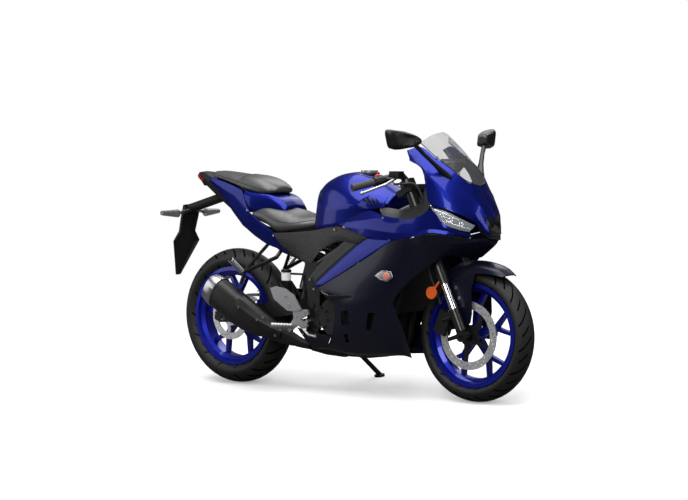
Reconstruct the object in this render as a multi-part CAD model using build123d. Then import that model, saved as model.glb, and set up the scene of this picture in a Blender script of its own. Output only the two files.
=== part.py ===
"""Sport motorcycle of the 300 class, parked on its side stand.

The machine is drawn upright: X forward from the rear axle, Y to the left, Z up from the ground, in millimetres.
Points of the bodywork are (x, half width, z) and are used for both sides. The last section leans the whole
machine over on to its stand and moves its origin to the middle of the floor under it.
"""
from build123d import *
import math
import os

# ---------------------------------------------------------------- driving dimensions, millimetres and degrees
WHEELBASE = 1380.0
RAKE = 25.0
FORK_OFFSET = 37.7
STEERING_LOCK = 34.0

FRONT_TYRE_RADIUS = 293.0
FRONT_TYRE_WIDTH = 110.0
FRONT_RIM_WIDTH = 76.0
REAR_TYRE_RADIUS = 314.0
REAR_TYRE_WIDTH = 140.0
REAR_RIM_WIDTH = 102.0
BEAD_RADIUS = 216.0
FLANGE_HEIGHT = 13.0
FLANGE_THICKNESS = 5.0
CROWN_DROP = 0.36
TYRE_WALL = 9.0
RIM_WALL = 10.0

FORK_HALF_SPACING = 100.0
FORK_TUBE_RADIUS = 26.0
STANCHION_RADIUS = 18.5
FRONT_AXLE_RADIUS = 10.0
FRONT_AXLE_BORE = 6.0
REAR_AXLE_RADIUS = 10.0
HUB_RADIUS = 34.0
HUB_HALF_LENGTH = 38.0

FRONT_DISC_RADIUS = 149.0
REAR_DISC_RADIUS = 110.0
DISC_THICKNESS = 5.0
FRONT_DISC_OFFSET = 62.0
REAR_DISC_OFFSET = 62.0

PIVOT_X = 562.0
PIVOT_Z = 392.0
PIVOT_RADIUS = 12.0
SWINGARM_INNER = 92.0
SWINGARM_THICKNESS = 26.0

CHAIN_OFFSET = 83.0
CHAIN_WIDTH = 12.0
CHAIN_HALF_DEPTH = 7.0
REAR_SPROCKET_RADIUS = 90.0
FRONT_SPROCKET_RADIUS = 34.0
FRONT_SPROCKET_X = 628.0
FRONT_SPROCKET_Z = 406.0

PANEL = 3.0
SEAT_GAP = 0.3
RUNNING_GAP = 0.05

HANDLEBAR_RADIUS = 11.0
GRIP_RADIUS = 16.5

STAND_PIVOT = Vector(575.0, 112.0, 204.0)
STAND_AXIS = Vector(-0.361, 0.921, 0.150).normalized()
STAND_FOOT_X = 636.0
STAND_FOOT_Y = 255.0
STAND_RADIUS = 11.0
STAND_EYE_RADIUS = 14.0
STAND_EYE_LENGTH = 14.0
STAND_PIN_RADIUS = 6.0
STAND_PAD_RADIUS = 24.0
STAND_PAD_THICKNESS = 9.0
LEAN = 10.5

SPOOL_HOLE_RADIUS = 4.0
SPOOL_HOLE_DEPTH = 16.0
SPOOL_BOSS_RADIUS = 11.0
SPOOL_X = 78.0
SPOOL_Z = 318.0

# The bodywork tables are drawn at this wheelbase; a longer one is taken up between the swingarm and the head.
DRAWN_WHEELBASE = 1380.0

# ---------------------------------------------------------------- places worked out from them
REAR_AXLE = Vector(0, 0, REAR_TYRE_RADIUS)
FRONT_AXLE = Vector(WHEELBASE, 0, FRONT_TYRE_RADIUS)
RAKE_SIN = math.sin(math.radians(RAKE))
RAKE_COS = math.cos(math.radians(RAKE))
STEERING_AXIS = Vector(-RAKE_SIN, 0, RAKE_COS)
STEERING_SIDE = Vector(RAKE_COS, 0, RAKE_SIN)
STEERING_FOOT = FRONT_AXLE - STEERING_SIDE * FORK_OFFSET
DRAWN_HEAD_X = 1040.0


def along(x):
    """Place along the machine of a drawn x, with the wheelbase taken up between swingarm pivot and head."""
    share = (x - PIVOT_X) / (DRAWN_HEAD_X - PIVOT_X)
    share = min(max(share, 0.0), 1.0)
    return x + (WHEELBASE - DRAWN_WHEELBASE) * share


def place(x, y, z):
    """Point of the bodywork from drawn coordinates."""
    return Vector(along(x), y, z)


def crown_radius(width):
    """Radius of a tyre's tread across its width."""
    drop = CROWN_DROP * width
    return (width * width / 4 + drop * drop) / (2 * drop)


def floor_point(x, y, height=0.0):
    """Point of the upright frame that lies at a height over the floor once the machine leans on its stand."""
    lean = math.radians(LEAN)
    level = -crown_radius(REAR_TYRE_WIDTH) * (1 - math.cos(lean)) + height
    return Vector(x, y, (y * math.sin(lean) + level) / math.cos(lean))


def on_leg(height, side=0.0, forward=0.0):
    """Point on the fork leg's line at a height above the front axle, measured up the leg."""
    start = Vector(FRONT_AXLE.X, side * FORK_HALF_SPACING, FRONT_AXLE.Z)
    return start + STEERING_AXIS * height + STEERING_SIDE * forward


def on_head(height):
    """Point on the steering axis, measured up from the foot of the front axle's perpendicular."""
    return STEERING_FOOT + STEERING_AXIS * height


# ---------------------------------------------------------------- shapes
def rod(start, end, radius, end_radius=None):
    """Round bar or cone between two points."""
    start = Vector(start)
    end = Vector(end)
    length = (end - start).length
    middle = (Align.CENTER, Align.CENTER, Align.MIN)
    if end_radius is None:
        shape = Cylinder(radius, length, align=middle)
    else:
        shape = Cone(radius, end_radius, length, align=middle)
    return Plane(origin=start, z_dir=end - start) * shape


def tube(points, radius, bends):
    """Bar swept along straight runs joined by arcs."""
    path = FilletPolyline(*[Vector(p) for p in points], radius=bends)
    profile = Plane(origin=path @ 0, z_dir=path % 0) * Circle(radius)
    return sweep(profile, path=path)


def turned(outline, centre):
    """Ring about a wheel's axle from an outline of (radius, offset along Y) points."""
    face = make_face(Polyline(*outline, close=True))
    return Pos(centre) * revolve(Plane.XY * face, Axis.Y)


def plate(outline, side, inner, outer):
    """Flat plate from (x, z) points, from half width inner to outer, on side -1 (right) or 1 (left)."""
    face = make_face(Polyline(*[(along(x), z) for x, z in outline], close=True))
    low = min(side * inner, side * outer)
    sketch = Plane(origin=(0, low, 0), x_dir=(1, 0, 0), z_dir=(0, -1, 0)) * face
    return extrude(sketch, amount=abs(outer - inner), dir=(0, 1, 0))


def solid_from(triangles):
    """Closed solid from triangles that all turn the same way."""
    volume = sum(a.dot(b.cross(c)) for a, b, c in triangles)
    if volume < 0:
        triangles = [(a, c, b) for a, b, c in triangles]
    faces = [Face(Wire.make_polygon(corners, close=True)) for corners in triangles]
    return Solid(Shell(faces))


def split_quads(rings, closed):
    """Triangles between rows of points, each row closed on itself or open."""
    triangles = []
    for near, far in zip(rings[:-1], rings[1:]):
        count = len(near)
        last = count if closed else count - 1
        for i in range(last):
            j = (i + 1) % count
            triangles.append((near[i], near[j], far[j]))
            triangles.append((near[i], far[j], far[i]))
    return triangles


def body(rings):
    """Closed solid through rings of points with the same count, with a fan on each end."""
    triangles = split_quads(rings, True)
    first = sum(rings[0], Vector(0, 0, 0)) * (1 / len(rings[0]))
    last = sum(rings[-1], Vector(0, 0, 0)) * (1 / len(rings[-1]))
    count = len(rings[0])
    for i in range(count):
        j = (i + 1) % count
        triangles.append((first, rings[0][j], rings[0][i]))
        triangles.append((last, rings[-1][i], rings[-1][j]))
    return solid_from(triangles)


def half_ring(x, points):
    """Ring across the machine at x from (half width, z) points that run from the bottom centre to the top."""
    right = [place(x, -w, z) for w, z in points]
    left = [place(x, w, z) for w, z in reversed(points) if w > 0]
    return right + left


def sheet(rows, side, thickness=PANEL):
    """Panel through rows of (x, half width, z) points, thickened towards the inside of the machine."""
    grid = [[place(x, side * w, z) for x, w, z in row] for row in rows]
    count_u = len(grid)
    count_v = len(grid[0])
    normals = [[Vector(0, 0, 0) for _ in range(count_v)] for _ in range(count_u)]
    for u in range(count_u - 1):
        for v in range(count_v - 1):
            a = grid[u][v]
            b = grid[u][v + 1]
            c = grid[u + 1][v + 1]
            d = grid[u + 1][v]
            face_normal = (c - a).cross(d - b)
            for i, j in ((u, v), (u, v + 1), (u + 1, v + 1), (u + 1, v)):
                normals[i][j] = normals[i][j] + face_normal.normalized()
    points = [p for row in grid for p in row]
    low = min(p.Z for p in points)
    core_x = sum(p.X for p in points) / len(points)
    outward = 0.0
    for u in range(count_u):
        for v in range(count_v):
            p = grid[u][v]
            outward += normals[u][v].dot(Vector((p.X - core_x) * 0.3, p.Y, (p.Z - low) * 0.3))
    sign = -1.0 if outward > 0 else 1.0
    inner = []
    for u in range(count_u):
        row = []
        for v in range(count_v):
            normal = normals[u][v]
            if abs(grid[u][v].Y) < 1e-6:
                normal = Vector(normal.X, 0, normal.Z)
            row.append(grid[u][v] + normal.normalized() * (sign * thickness))
        inner.append(row)
    triangles = split_quads(grid, False)
    triangles += [(a, c, b) for a, b, c in split_quads(inner, False)]
    border = [(0, v) for v in range(count_v - 1)]
    border += [(u, count_v - 1) for u in range(count_u - 1)]
    border += [(count_u - 1, v) for v in range(count_v - 1, 0, -1)]
    border += [(u, 0) for u in range(count_u - 1, 0, -1)]
    for k, (u, v) in enumerate(border):
        s, t = border[(k + 1) % len(border)]
        triangles.append((grid[u][v], inner[s][t], grid[s][t]))
        triangles.append((grid[u][v], inner[u][v], inner[s][t]))
    return solid_from(triangles)


def pair(make):
    """The right and the left copy of a piece that make(side) builds."""
    return [make(-1), make(1)]


def join(pieces):
    """One solid of pieces that overlap or meet."""
    result = pieces[0]
    for piece in pieces[1:]:
        result = result + piece
    return result


# ---------------------------------------------------------------- wheels
def tyre(centre, radius, width, rim_width):
    """Tyre with a round crown, sidewalls and beads, hollow inside."""
    half = width / 2
    bead = rim_width / 2
    crown_edge = radius - CROWN_DROP * width
    foot = BEAD_RADIUS + FLANGE_HEIGHT + 2
    seat = BEAD_RADIUS + SEAT_GAP
    wall = TYRE_WALL
    outer = [
        Line((seat, -bead + SEAT_GAP), (foot, -bead + SEAT_GAP)),
        Line((foot, -bead + SEAT_GAP), (crown_edge, -half)),
        ThreePointArc((crown_edge, -half), (radius, 0), (crown_edge, half)),
        Line((crown_edge, half), (foot, bead - SEAT_GAP)),
        Line((foot, bead - SEAT_GAP), (seat, bead - SEAT_GAP)),
        Line((seat, bead - SEAT_GAP), (seat, bead - wall)),
        Line((seat, bead - wall), (foot, bead - wall)),
        Line((foot, bead - wall), (crown_edge, half - wall)),
        ThreePointArc((crown_edge, half - wall), (radius - wall, 0), (crown_edge, wall - half)),
        Line((crown_edge, wall - half), (foot, wall - bead)),
        Line((foot, wall - bead), (seat, wall - bead)),
        Line((seat, wall - bead), (seat, -bead + SEAT_GAP)),
    ]
    face = make_face(outer)
    return Pos(centre) * revolve(Plane.XY * face, Axis.Y)


SPOKES = 5
SPOKE_SPLIT = 0.58
SPOKE_SPREAD = 15.0


def rim(centre, rim_width, axle_radius, hub_half):
    """Cast wheel: barrel with flanges, hub, and spokes that fork on their way to the barrel."""
    bead = rim_width / 2
    edge = bead + FLANGE_THICKNESS
    well = BEAD_RADIUS - 16
    inside = well - RIM_WALL
    flange = BEAD_RADIUS + FLANGE_HEIGHT
    barrel = [
        (flange, -edge), (flange, -bead), (BEAD_RADIUS, -bead), (BEAD_RADIUS, 13 - bead), (well, 23 - bead),
        (well, bead - 23), (BEAD_RADIUS, bead - 13), (BEAD_RADIUS, bead), (flange, bead), (flange, edge),
        (BEAD_RADIUS - 4, edge), (BEAD_RADIUS - RIM_WALL, bead - 9), (inside, bead - 20), (inside, 20 - bead),
        (BEAD_RADIUS - RIM_WALL, 9 - bead), (BEAD_RADIUS - 4, -edge),
    ]
    wheel = turned(barrel, Vector(0, 0, 0))
    hub = [
        (axle_radius + RUNNING_GAP, -hub_half), (HUB_RADIUS - 6, -hub_half), (HUB_RADIUS, -hub_half * 0.6),
        (HUB_RADIUS, hub_half * 0.6), (HUB_RADIUS - 6, hub_half), (axle_radius + RUNNING_GAP, hub_half),
    ]
    parts = [wheel, turned(hub, Vector(0, 0, 0))]
    fork_radius = SPOKE_SPLIT * well
    reach = inside + RIM_WALL * 0.5
    for number in range(SPOKES):
        angle = 360.0 * number / SPOKES + 90.0
        root = polar(HUB_RADIUS - 5, angle)
        split = polar(fork_radius, angle)
        parts.append(arm(root, split, 30, 24, 34, 26))
        for turn in (-SPOKE_SPREAD, SPOKE_SPREAD):
            start = polar(fork_radius - 8, angle)
            parts.append(arm(start, polar(reach, angle + turn), 20, 15, 26, 24))
    return Pos(centre) * join(parts)


def polar(radius, angle):
    """Point in a wheel's middle plane."""
    turn = math.radians(angle)
    return Vector(radius * math.cos(turn), 0, radius * math.sin(turn))


def arm(start, end, start_width, end_width, start_depth, end_depth):
    """Straight tapered arm of rectangular section in a wheel's plane."""
    direction = end - start
    first = Plane(origin=start, x_dir=(0, 1, 0), z_dir=direction) * Rectangle(start_depth, start_width)
    second = Plane(origin=end, x_dir=(0, 1, 0), z_dir=direction) * Rectangle(end_depth, end_width)
    return loft([first, second], ruled=True)


def brake_disc(centre, radius, band, holes, offset):
    """Drilled brake ring with a spider to the hub."""
    middle = offset
    low = middle - DISC_THICKNESS / 2
    high = middle + DISC_THICKNESS / 2
    ring = turned([(radius - band, low), (radius, low), (radius, high), (radius - band, high)], Vector(0, 0, 0))
    drills = []
    for row, share in enumerate((0.25, 0.5, 0.75)):
        hole_radius = radius - band * share
        for number in range(holes):
            angle = 360.0 * (number + row / 3) / holes
            point = polar(hole_radius, angle)
            start = Vector(point.X, low - 1, point.Z)
            drills.append(rod(start, start + Vector(0, DISC_THICKNESS + 2, 0), 3.4))
    ring = ring - drills
    return Pos(centre) * ring


def disc_carrier(centre, radius, band, offset, hub_half, arms):
    """Spider that carries a brake ring on the hub's end."""
    side = 1 if offset > 0 else -1
    face = abs(offset) + DISC_THICKNESS / 2
    foot = side * (hub_half + SEAT_GAP)
    top = side * face
    low = min(foot, top)
    high = max(foot, top)
    core = turned([(HUB_RADIUS - 14, low), (HUB_RADIUS + 12, low), (HUB_RADIUS + 12, high),
                   (HUB_RADIUS - 14, high)], Vector(0, 0, 0))
    inner = radius - band - SEAT_GAP
    parts = [core]
    for number in range(arms):
        angle = 360.0 * (number + 0.5) / arms
        start = polar(HUB_RADIUS + 4, angle) + Vector(0, offset, 0)
        end = polar(inner - 1, angle + 12) + Vector(0, offset, 0)
        parts.append(arm(start, end, 22, 16, DISC_THICKNESS, DISC_THICKNESS))
    return Pos(centre) * join(parts)


# ---------------------------------------------------------------- fork, bars and what steers
LOWER_CLAMP = 515.0
UPPER_CLAMP = 692.0
CLAMP_THICKNESS = 26.0
LEG_TOP = 730.0
OUTER_TUBE_FOOT = 245.0
AXLE_CLAMP_TOP = 124.0
FORK_FOOT = 22.0
STEM_RADIUS = 14.0
HEAD_TUBE_RADIUS = 29.0


def fork_legs():
    """Outer tubes above, and the axle clamps joined by the front axle below."""
    outers = []
    clamps = []
    for side in (-1, 1):
        outers.append(rod(on_leg(OUTER_TUBE_FOOT, side), on_leg(LEG_TOP, side), FORK_TUBE_RADIUS))
        clamp = rod(on_leg(FORK_FOOT, side), on_leg(AXLE_CLAMP_TOP, side), FORK_TUBE_RADIUS - 2)
        boss_start = Vector(FRONT_AXLE.X, side * (FORK_HALF_SPACING - 20), FRONT_AXLE.Z)
        boss_end = Vector(FRONT_AXLE.X, side * (FORK_HALF_SPACING + 20), FRONT_AXLE.Z)
        clamps.append(clamp + rod(boss_start, boss_end, 25))
    half_axle = FORK_HALF_SPACING + 25
    axle_start = FRONT_AXLE + Vector(0, -half_axle, 0)
    axle_end = FRONT_AXLE + Vector(0, half_axle, 0)
    axle = rod(axle_start, axle_end, FRONT_AXLE_RADIUS)
    lower = join([axle] + clamps)
    lower = lower - rod(axle_start - Vector(0, 1, 0), axle_end + Vector(0, 1, 0), FRONT_AXLE_BORE)
    return outers + [lower]


def fork_stanchions():
    """Bright inner tubes between the outer tubes and the axle clamps."""
    low = AXLE_CLAMP_TOP + SEAT_GAP
    high = OUTER_TUBE_FOOT - SEAT_GAP
    return pair(lambda side: rod(on_leg(low, side), on_leg(high, side), STANCHION_RADIUS))


def clamp_plate(height, reach):
    """One fork yoke: a plate across both legs and the steering stem."""
    origin = on_leg(height)
    plane = Plane(origin=origin, x_dir=(0, 1, 0), z_dir=STEERING_AXIS)
    half = FORK_HALF_SPACING + FORK_TUBE_RADIUS + 9
    yoke = plane * Pos(0, reach / 2 - 2, 0) * Box(2 * half, FORK_OFFSET + reach + 26, CLAMP_THICKNESS)
    for side in (-1, 1):
        bore = rod(on_leg(height - 30, side), on_leg(height + 30, side), FORK_TUBE_RADIUS + SEAT_GAP)
        yoke = yoke - bore
    return yoke


def triple_clamps():
    """Both yokes and the steering stem."""
    stem_low = on_head(LOWER_CLAMP - 14)
    stem_high = on_head(UPPER_CLAMP + 24)
    stem = rod(stem_low, stem_high, STEM_RADIUS)
    return [join([clamp_plate(LOWER_CLAMP, 20), clamp_plate(UPPER_CLAMP, 20), stem])]


GRIP_END = (956.0, 340.0, 931.0)
GRIP_START = (1020.0, 228.0, 969.0)
BAR_ROOT = (1052.0, 118.0, 986.0)


def bar_point(share, side):
    """Point on a handlebar, 0 at its root and 1 at the grip's end."""
    root = Vector(along(BAR_ROOT[0]), side * BAR_ROOT[1], BAR_ROOT[2])
    end = Vector(along(GRIP_END[0]), side * GRIP_END[1], GRIP_END[2])
    return root + (end - root) * share


def handlebars():
    """Clip-on bars, each clamped round the top of its fork leg."""
    def one(side):
        ring = rod(on_leg(LEG_TOP - 22, side), on_leg(LEG_TOP + 6, side), FORK_TUBE_RADIUS + 9)
        ring = ring - rod(on_leg(LEG_TOP - 40, side), on_leg(LEG_TOP + SEAT_GAP, side),
                          FORK_TUBE_RADIUS + SEAT_GAP)
        riser = rod(on_leg(LEG_TOP + 2, side), bar_point(0.0, side), 15)
        bar = rod(bar_point(0.0, side), bar_point(0.985, side), HANDLEBAR_RADIUS)
        room = rod(on_leg(LEG_TOP - 40, side), on_leg(LEG_TOP + SEAT_GAP, side), FORK_TUBE_RADIUS + SEAT_GAP)
        return ring + riser + bar - room
    return pair(one)


def grips():
    """Rubber grips with a bar end weight."""
    def one(side):
        sleeve = rod(bar_point(0.56, side), bar_point(1.0, side), GRIP_RADIUS)
        return sleeve - rod(bar_point(0.0, side), bar_point(0.986, side), HANDLEBAR_RADIUS + SEAT_GAP)
    return pair(one)


def hand_controls():
    """Switch housings, lever brackets and the front brake reservoir."""
    pieces = []
    for side in (-1, 1):
        housing = rod(bar_point(0.38, side), bar_point(0.555, side), 23)
        bracket = rod(bar_point(0.2, side), bar_point(0.375, side), 17)
        root = bar_point(0.33, side) + Vector(45, 0, -2)
        arm_piece = rod(bar_point(0.33, side), root, 10)
        piece = housing + bracket + arm_piece
        if side < 0:
            foot = bar_point(0.26, side) + Vector(34, 8, 0)
            piece = piece + rod(bar_point(0.26, side), foot, 9)
            cup = Pos(foot + Vector(4, 0, 14)) * Box(52, 40, 34)
            piece = piece + cup
        piece = piece - rod(bar_point(0.0, side), bar_point(0.9, side), HANDLEBAR_RADIUS + SEAT_GAP)
        pieces.append(piece)
    return pieces


def hand_levers():
    """Brake and clutch levers with ball ends."""
    def one(side):
        root = bar_point(0.33, side) + Vector(47, 0, -2)
        bend = bar_point(0.55, side) + Vector(62, 0, -10)
        end = bar_point(0.97, side) + Vector(46, 0, -24)
        return tube([root, bend, end], 6, [60]) + Pos(end) * Sphere(9)
    return pair(one)


# front mudguard: front to rear, lower edge to the middle, each (x, half width, z)
MUDGUARD_ROWS = (
    ((1580, 56, 551), (1592, 38, 554), (1599, 0, 556)),
    ((1528, 66, 558), (1532, 56, 579), (1541, 0, 589)),
    ((1463, 70, 560), (1462, 61, 593), (1462, 0, 611)),
    ((1380, 71, 556), (1384, 61, 599), (1386, 0, 616)),
    ((1318, 70, 545), (1316, 60, 586), (1312, 0, 605)),
    ((1272, 68, 534), (1266, 58, 557), (1252, 0, 577)),
)
MUDGUARD_CHEEK = ((1277, 541), (1263, 527), (1300, 470), (1340, 396), (1357, 362), (1381, 330), (1399, 352),
                  (1406, 392), (1401, 494), (1424, 562), (1380, 560), (1318, 550))
CHEEK_INNER = 70.0
CHEEK_OUTER = 77.0


def front_mudguard():
    """Guard over the front tyre with a cheek down to each fork foot."""
    grid = []
    for row in MUDGUARD_ROWS:
        right = [place(x, -w, z) for x, w, z in row]
        left = [place(x, w, z) for x, w, z in reversed(row[:-1])]
        grid.append(right + left)
    legs = fork_legs()
    cheeks = [carve(plate(MUDGUARD_CHEEK, side, CHEEK_INNER, CHEEK_OUTER), legs) for side in (-1, 1)]
    return [thick_grid(grid, FRONT_AXLE, PANEL)] + cheeks


def thick_grid(grid, core, thickness):
    """Panel through rows of points, thickened towards a core point."""
    inner = []
    for row in grid:
        inner.append([p + Vector(core.X - p.X, -p.Y * 0.9, core.Z - p.Z).normalized() * thickness for p in row])
    triangles = split_quads(grid, False)
    triangles += [(a, c, b) for a, b, c in split_quads(inner, False)]
    count_u = len(grid)
    count_v = len(grid[0])
    border = [(0, v) for v in range(count_v - 1)]
    border += [(u, count_v - 1) for u in range(count_u - 1)]
    border += [(count_u - 1, v) for v in range(count_v - 1, 0, -1)]
    border += [(u, 0) for u in range(count_u - 1, 0, -1)]
    for k, (u, v) in enumerate(border):
        s, t = border[(k + 1) % len(border)]
        triangles.append((grid[u][v], inner[s][t], grid[s][t]))
        triangles.append((grid[u][v], inner[u][v], inner[s][t]))
    return solid_from(triangles)


def front_brake():
    """Caliper behind the right fork leg, gripping the disc."""
    middle = FRONT_AXLE + Vector(-128, -FRONT_DISC_OFFSET, 52)
    block = Pos(middle) * Rot(0, 22, 0) * Box(62, 46, 104)
    slot = turned([(60, -FRONT_DISC_OFFSET - 5.5), (FRONT_DISC_RADIUS + 4, -FRONT_DISC_OFFSET - 5.5),
                   (FRONT_DISC_RADIUS + 4, -FRONT_DISC_OFFSET + 5.5), (60, -FRONT_DISC_OFFSET + 5.5)], FRONT_AXLE)
    lug = rod(middle + Vector(0, -16, 10), on_leg(96, -1) + Vector(-6, 6, 0), 11)
    caliper = block + lug - slot
    return [caliper - rod(on_leg(0, -1), on_leg(140, -1), FORK_TUBE_RADIUS - 2 + SEAT_GAP)]


def fork_reflectors():
    """Round reflectors on brackets beside the fork legs."""
    def one(side):
        middle = place(1236, side * 134, 477)
        disc = rod(middle, middle + Vector(0, side * 8, 0), 27)
        stem = rod(on_leg(262, side) + Vector(0, side * 20, 0), middle + Vector(0, side * 4, 0), 5)
        joined = disc + stem
        return joined - rod(on_leg(220, side), on_leg(320, side), FORK_TUBE_RADIUS + SEAT_GAP)
    return pair(one)


# ---------------------------------------------------------------- frame and engine
RAIL_Y = 118.0
RAIL_RADIUS = 17.0


def main_frame():
    """Head tube, main rails, pivot plates and cross tubes."""
    head_low = on_head(LOWER_CLAMP + CLAMP_THICKNESS / 2 + 2)
    head_high = on_head(UPPER_CLAMP - CLAMP_THICKNESS / 2 - 2)
    head = rod(head_low, head_high, HEAD_TUBE_RADIUS)
    parts = [head]
    for side in (-1, 1):
        top = on_head(UPPER_CLAMP - 52)
        knee = place(880, side * RAIL_Y, 754)
        heel = place(552, side * RAIL_Y, 562)
        parts.append(tube([top + Vector(-8, side * 12, 0), knee, heel], RAIL_RADIUS, [60]))
        low = on_head(LOWER_CLAMP + 40)
        corner = place(905, side * RAIL_Y, 636)
        brace = knee + (heel - knee) * 0.24
        parts.append(tube([low + Vector(-8, side * 12, 0), corner, brace], RAIL_RADIUS - 4, [26]))
        parts.append(plate([(516, 582), (578, 586), (612, 560), (604, 440), (602, 300), (578, 236), (520, 240),
                            (530, 330), (532, 440)], side, 119, 139))
    parts.append(rod(place(560, -125, 520), place(560, 125, 520), 15))
    parts.append(rod(place(556, -125, 262), place(556, 125, 262), 15))
    shaft = rod((PIVOT_X, -145, PIVOT_Z), (PIVOT_X, 145, PIVOT_Z), PIVOT_RADIUS)
    parts.append(shaft)
    parts.append(stand_bracket())
    frame = join(parts)
    bore = rod(on_head(LOWER_CLAMP - 30), on_head(UPPER_CLAMP + 30), STEM_RADIUS + 0.5)
    return [frame - bore]


def seat_subframe():
    """Rails that carry the seats and the tail."""
    parts = []
    for side in (-1, 1):
        lower = [place(548, side * 84, 570), place(335, side * 84, 634), place(160, side * 66, 738),
                 place(44, side * 52, 806)]
        parts.append(tube(lower, 11, [120, 160]))
        upper = [place(640, side * 84, 632), place(440, side * 84, 676), place(230, side * 76, 732),
                 place(44, side * 52, 806)]
        parts.append(tube(upper, 11, [200, 200]))
        parts.append(rod(place(440, side * 84, 676), place(470, side * 84, 594), 8))
        parts.append(rod(place(560, side * 84, 526), place(550, side * 84, 568), 10))
        parts.append(rod(place(634, side * 84, 630), place(634, side * 110, 614), 9))
    parts.append(rod(place(44, -52, 806), place(44, 52, 806), 11))
    parts.append(rod(place(44, 0, 806), place(20 + SEAT_GAP, 0, 820), 14))
    parts.append(rod(place(335, -84, 634), place(335, 84, 634), 9))
    return [join(parts)]


def engine():
    """Parallel twin as plain blocks at their real places: crankcase, inclined cylinders, sump and covers."""
    case = Pos(place(775, 0, 372)) * Box(310, 226, 250)
    sump = Pos(place(790, 10, 225)) * Box(220, 150, 50)
    cylinders = Plane(origin=place(845, 0, 480), x_dir=(0, 1, 0), z_dir=(0.32, 0, 0.95))
    bank = cylinders * Box(196, 160, 190, align=(Align.CENTER, Align.CENTER, Align.MIN))
    clutch = rod(place(712, -110, 350), place(712, -172, 350), 92, 84)
    stator = rod(place(748, 110, 372), place(748, 164, 372), 80, 72)
    cover = plate([(618, 470), (672, 470), (672, 350), (618, 338)], 1, 96, 117)
    block = join([case, sump, bank, clutch, stator, cover])
    room = chain_loop(CHAIN_HALF_DEPTH + 5)
    start = CHAIN_OFFSET - CHAIN_WIDTH / 2 - 4
    sketch = Plane(origin=(0, start, 0), x_dir=(1, 0, 0), z_dir=(0, -1, 0)) * room
    return [block - extrude(sketch, amount=CHAIN_WIDTH + 8, dir=(0, 1, 0))]


def radiator():
    """Core between side tanks, with a fan ring behind it."""
    face = Plane(origin=place(1072, 0, 505), x_dir=(0, 1, 0), z_dir=(0.97, 0, -0.24))
    core = face * Box(286, 250, 26)
    tanks = [face * Pos(x, 0, 0) * Box(26, 262, 36) for x in (-150, 150)]
    fan = face * Pos(-50, 0, -26) * Cylinder(78, 30)
    return [join([core] + tanks + [fan])]


def exhaust():
    """Two header pipes down the front, a collector under the engine and the silencer on the right."""
    parts = []
    for y in (-42, 42):
        route = [place(940, y, 634), place(996, y, 600), place(1002, y, 420), place(970, y * 0.8, 196),
                 place(800, y * 0.6, 176), place(640, y * 0.5 - 14, 178)]
        parts.append(tube(route, 17, [40, 150, 90, 60]))
    collector = [ring_of(place(x, y, z), (1, -0.12 * tilt, 0.02), h, w)
                 for x, y, z, h, w, tilt in ((655, -14, 178, 24, 38, 0), (560, -22, 186, 26, 40, 1),
                                             (500, -50, 200, 26, 30, 3))]
    parts.append(body(collector))
    link = tube([place(520, -42, 198), place(440, -98, 216), place(360, -150, 262)], 22, [80])
    parts.append(link)
    parts.append(silencer_shell(0.0))
    parts.append(body([ring_of(place(x, -w, z), (0.95, 0, -0.3), tall, wide)
                       for x, w, z, tall, wide in PIPE_COVER_RINGS]))
    return [join(parts)]


# centre x, half width, z; half height, half width; of the silencer's rings from its rear end
SILENCER_RINGS = (
    (-22, 172, 456, 60, 46), (24, 172, 430, 69, 51), (170, 172, 347, 70, 51), (262, 166, 300, 58, 46),
    (350, 156, 268, 38, 36), (400, 146, 250, 26, 26),
)


def ring_of(centre, direction, half_height, half_width, corners=14):
    """Rounded ring of points about a centre, square to a direction in the XZ plane."""
    axis = Vector(*direction).normalized()
    across = Vector(0, 1, 0)
    up = axis.cross(across) * -1
    points = []
    for number in range(corners):
        turn = 2 * math.pi * number / corners
        c = math.cos(turn)
        s = math.sin(turn)
        bulge = (abs(c) ** 2.6 + abs(s) ** 2.6) ** (-1 / 2.6)
        points.append(centre + across * (half_width * c * bulge) + up * (half_height * s * bulge))
    return points


def silencer_shell(extra):
    """Silencer body from its rings, larger by extra all round."""
    rings = []
    centres = [place(x, -w, z) for x, w, z, _, _ in SILENCER_RINGS]
    for number, (_, _, _, half_height, half_width) in enumerate(SILENCER_RINGS):
        before = centres[max(number - 1, 0)]
        after = centres[min(number + 1, len(centres) - 1)]
        run = after - before
        rings.append(ring_of(centres[number], (run.X, 0, run.Z), half_height + extra, half_width + extra))
    return body(rings)


def silencer_covers():
    """Bright end cap round the silencer's rear."""
    shell = silencer_shell(SEAT_GAP)
    outer = silencer_shell(SEAT_GAP + 4)
    tail = Vector(-22, -172, 456)
    back = Vector(-0.87, 0, 0.49)
    cap_room = Plane(origin=tail - back * 44, z_dir=back) * Box(200, 200, 58, align=(Align.CENTER, Align.CENTER,
                                                                                     Align.MIN))
    cap = (outer & cap_room) - shell
    return [max(cap.solids(), key=lambda solid: solid.volume)]


SHIELD_OUTLINE = ((205, 434), (170, 398), (186, 350), (290, 298), (408, 228), (404, 262), (350, 326), (282, 390))
SHIELD_GAP = 5.0


def silencer_shield():
    """Heat shield over the outer side of the silencer's front."""
    window = plate(SHIELD_OUTLINE, -1, 168, 260)
    shield = (silencer_shell(SEAT_GAP + SHIELD_GAP) & window) - silencer_shell(SEAT_GAP)
    return [max(shield.solids(), key=lambda solid: solid.volume)]


# cover round the link pipe: x, half width of its middle, z, half height, half width
PIPE_COVER_RINGS = ((352, 152, 262, 42, 26), (440, 138, 234, 32, 20), (534, 124, 207, 11, 10))


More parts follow.
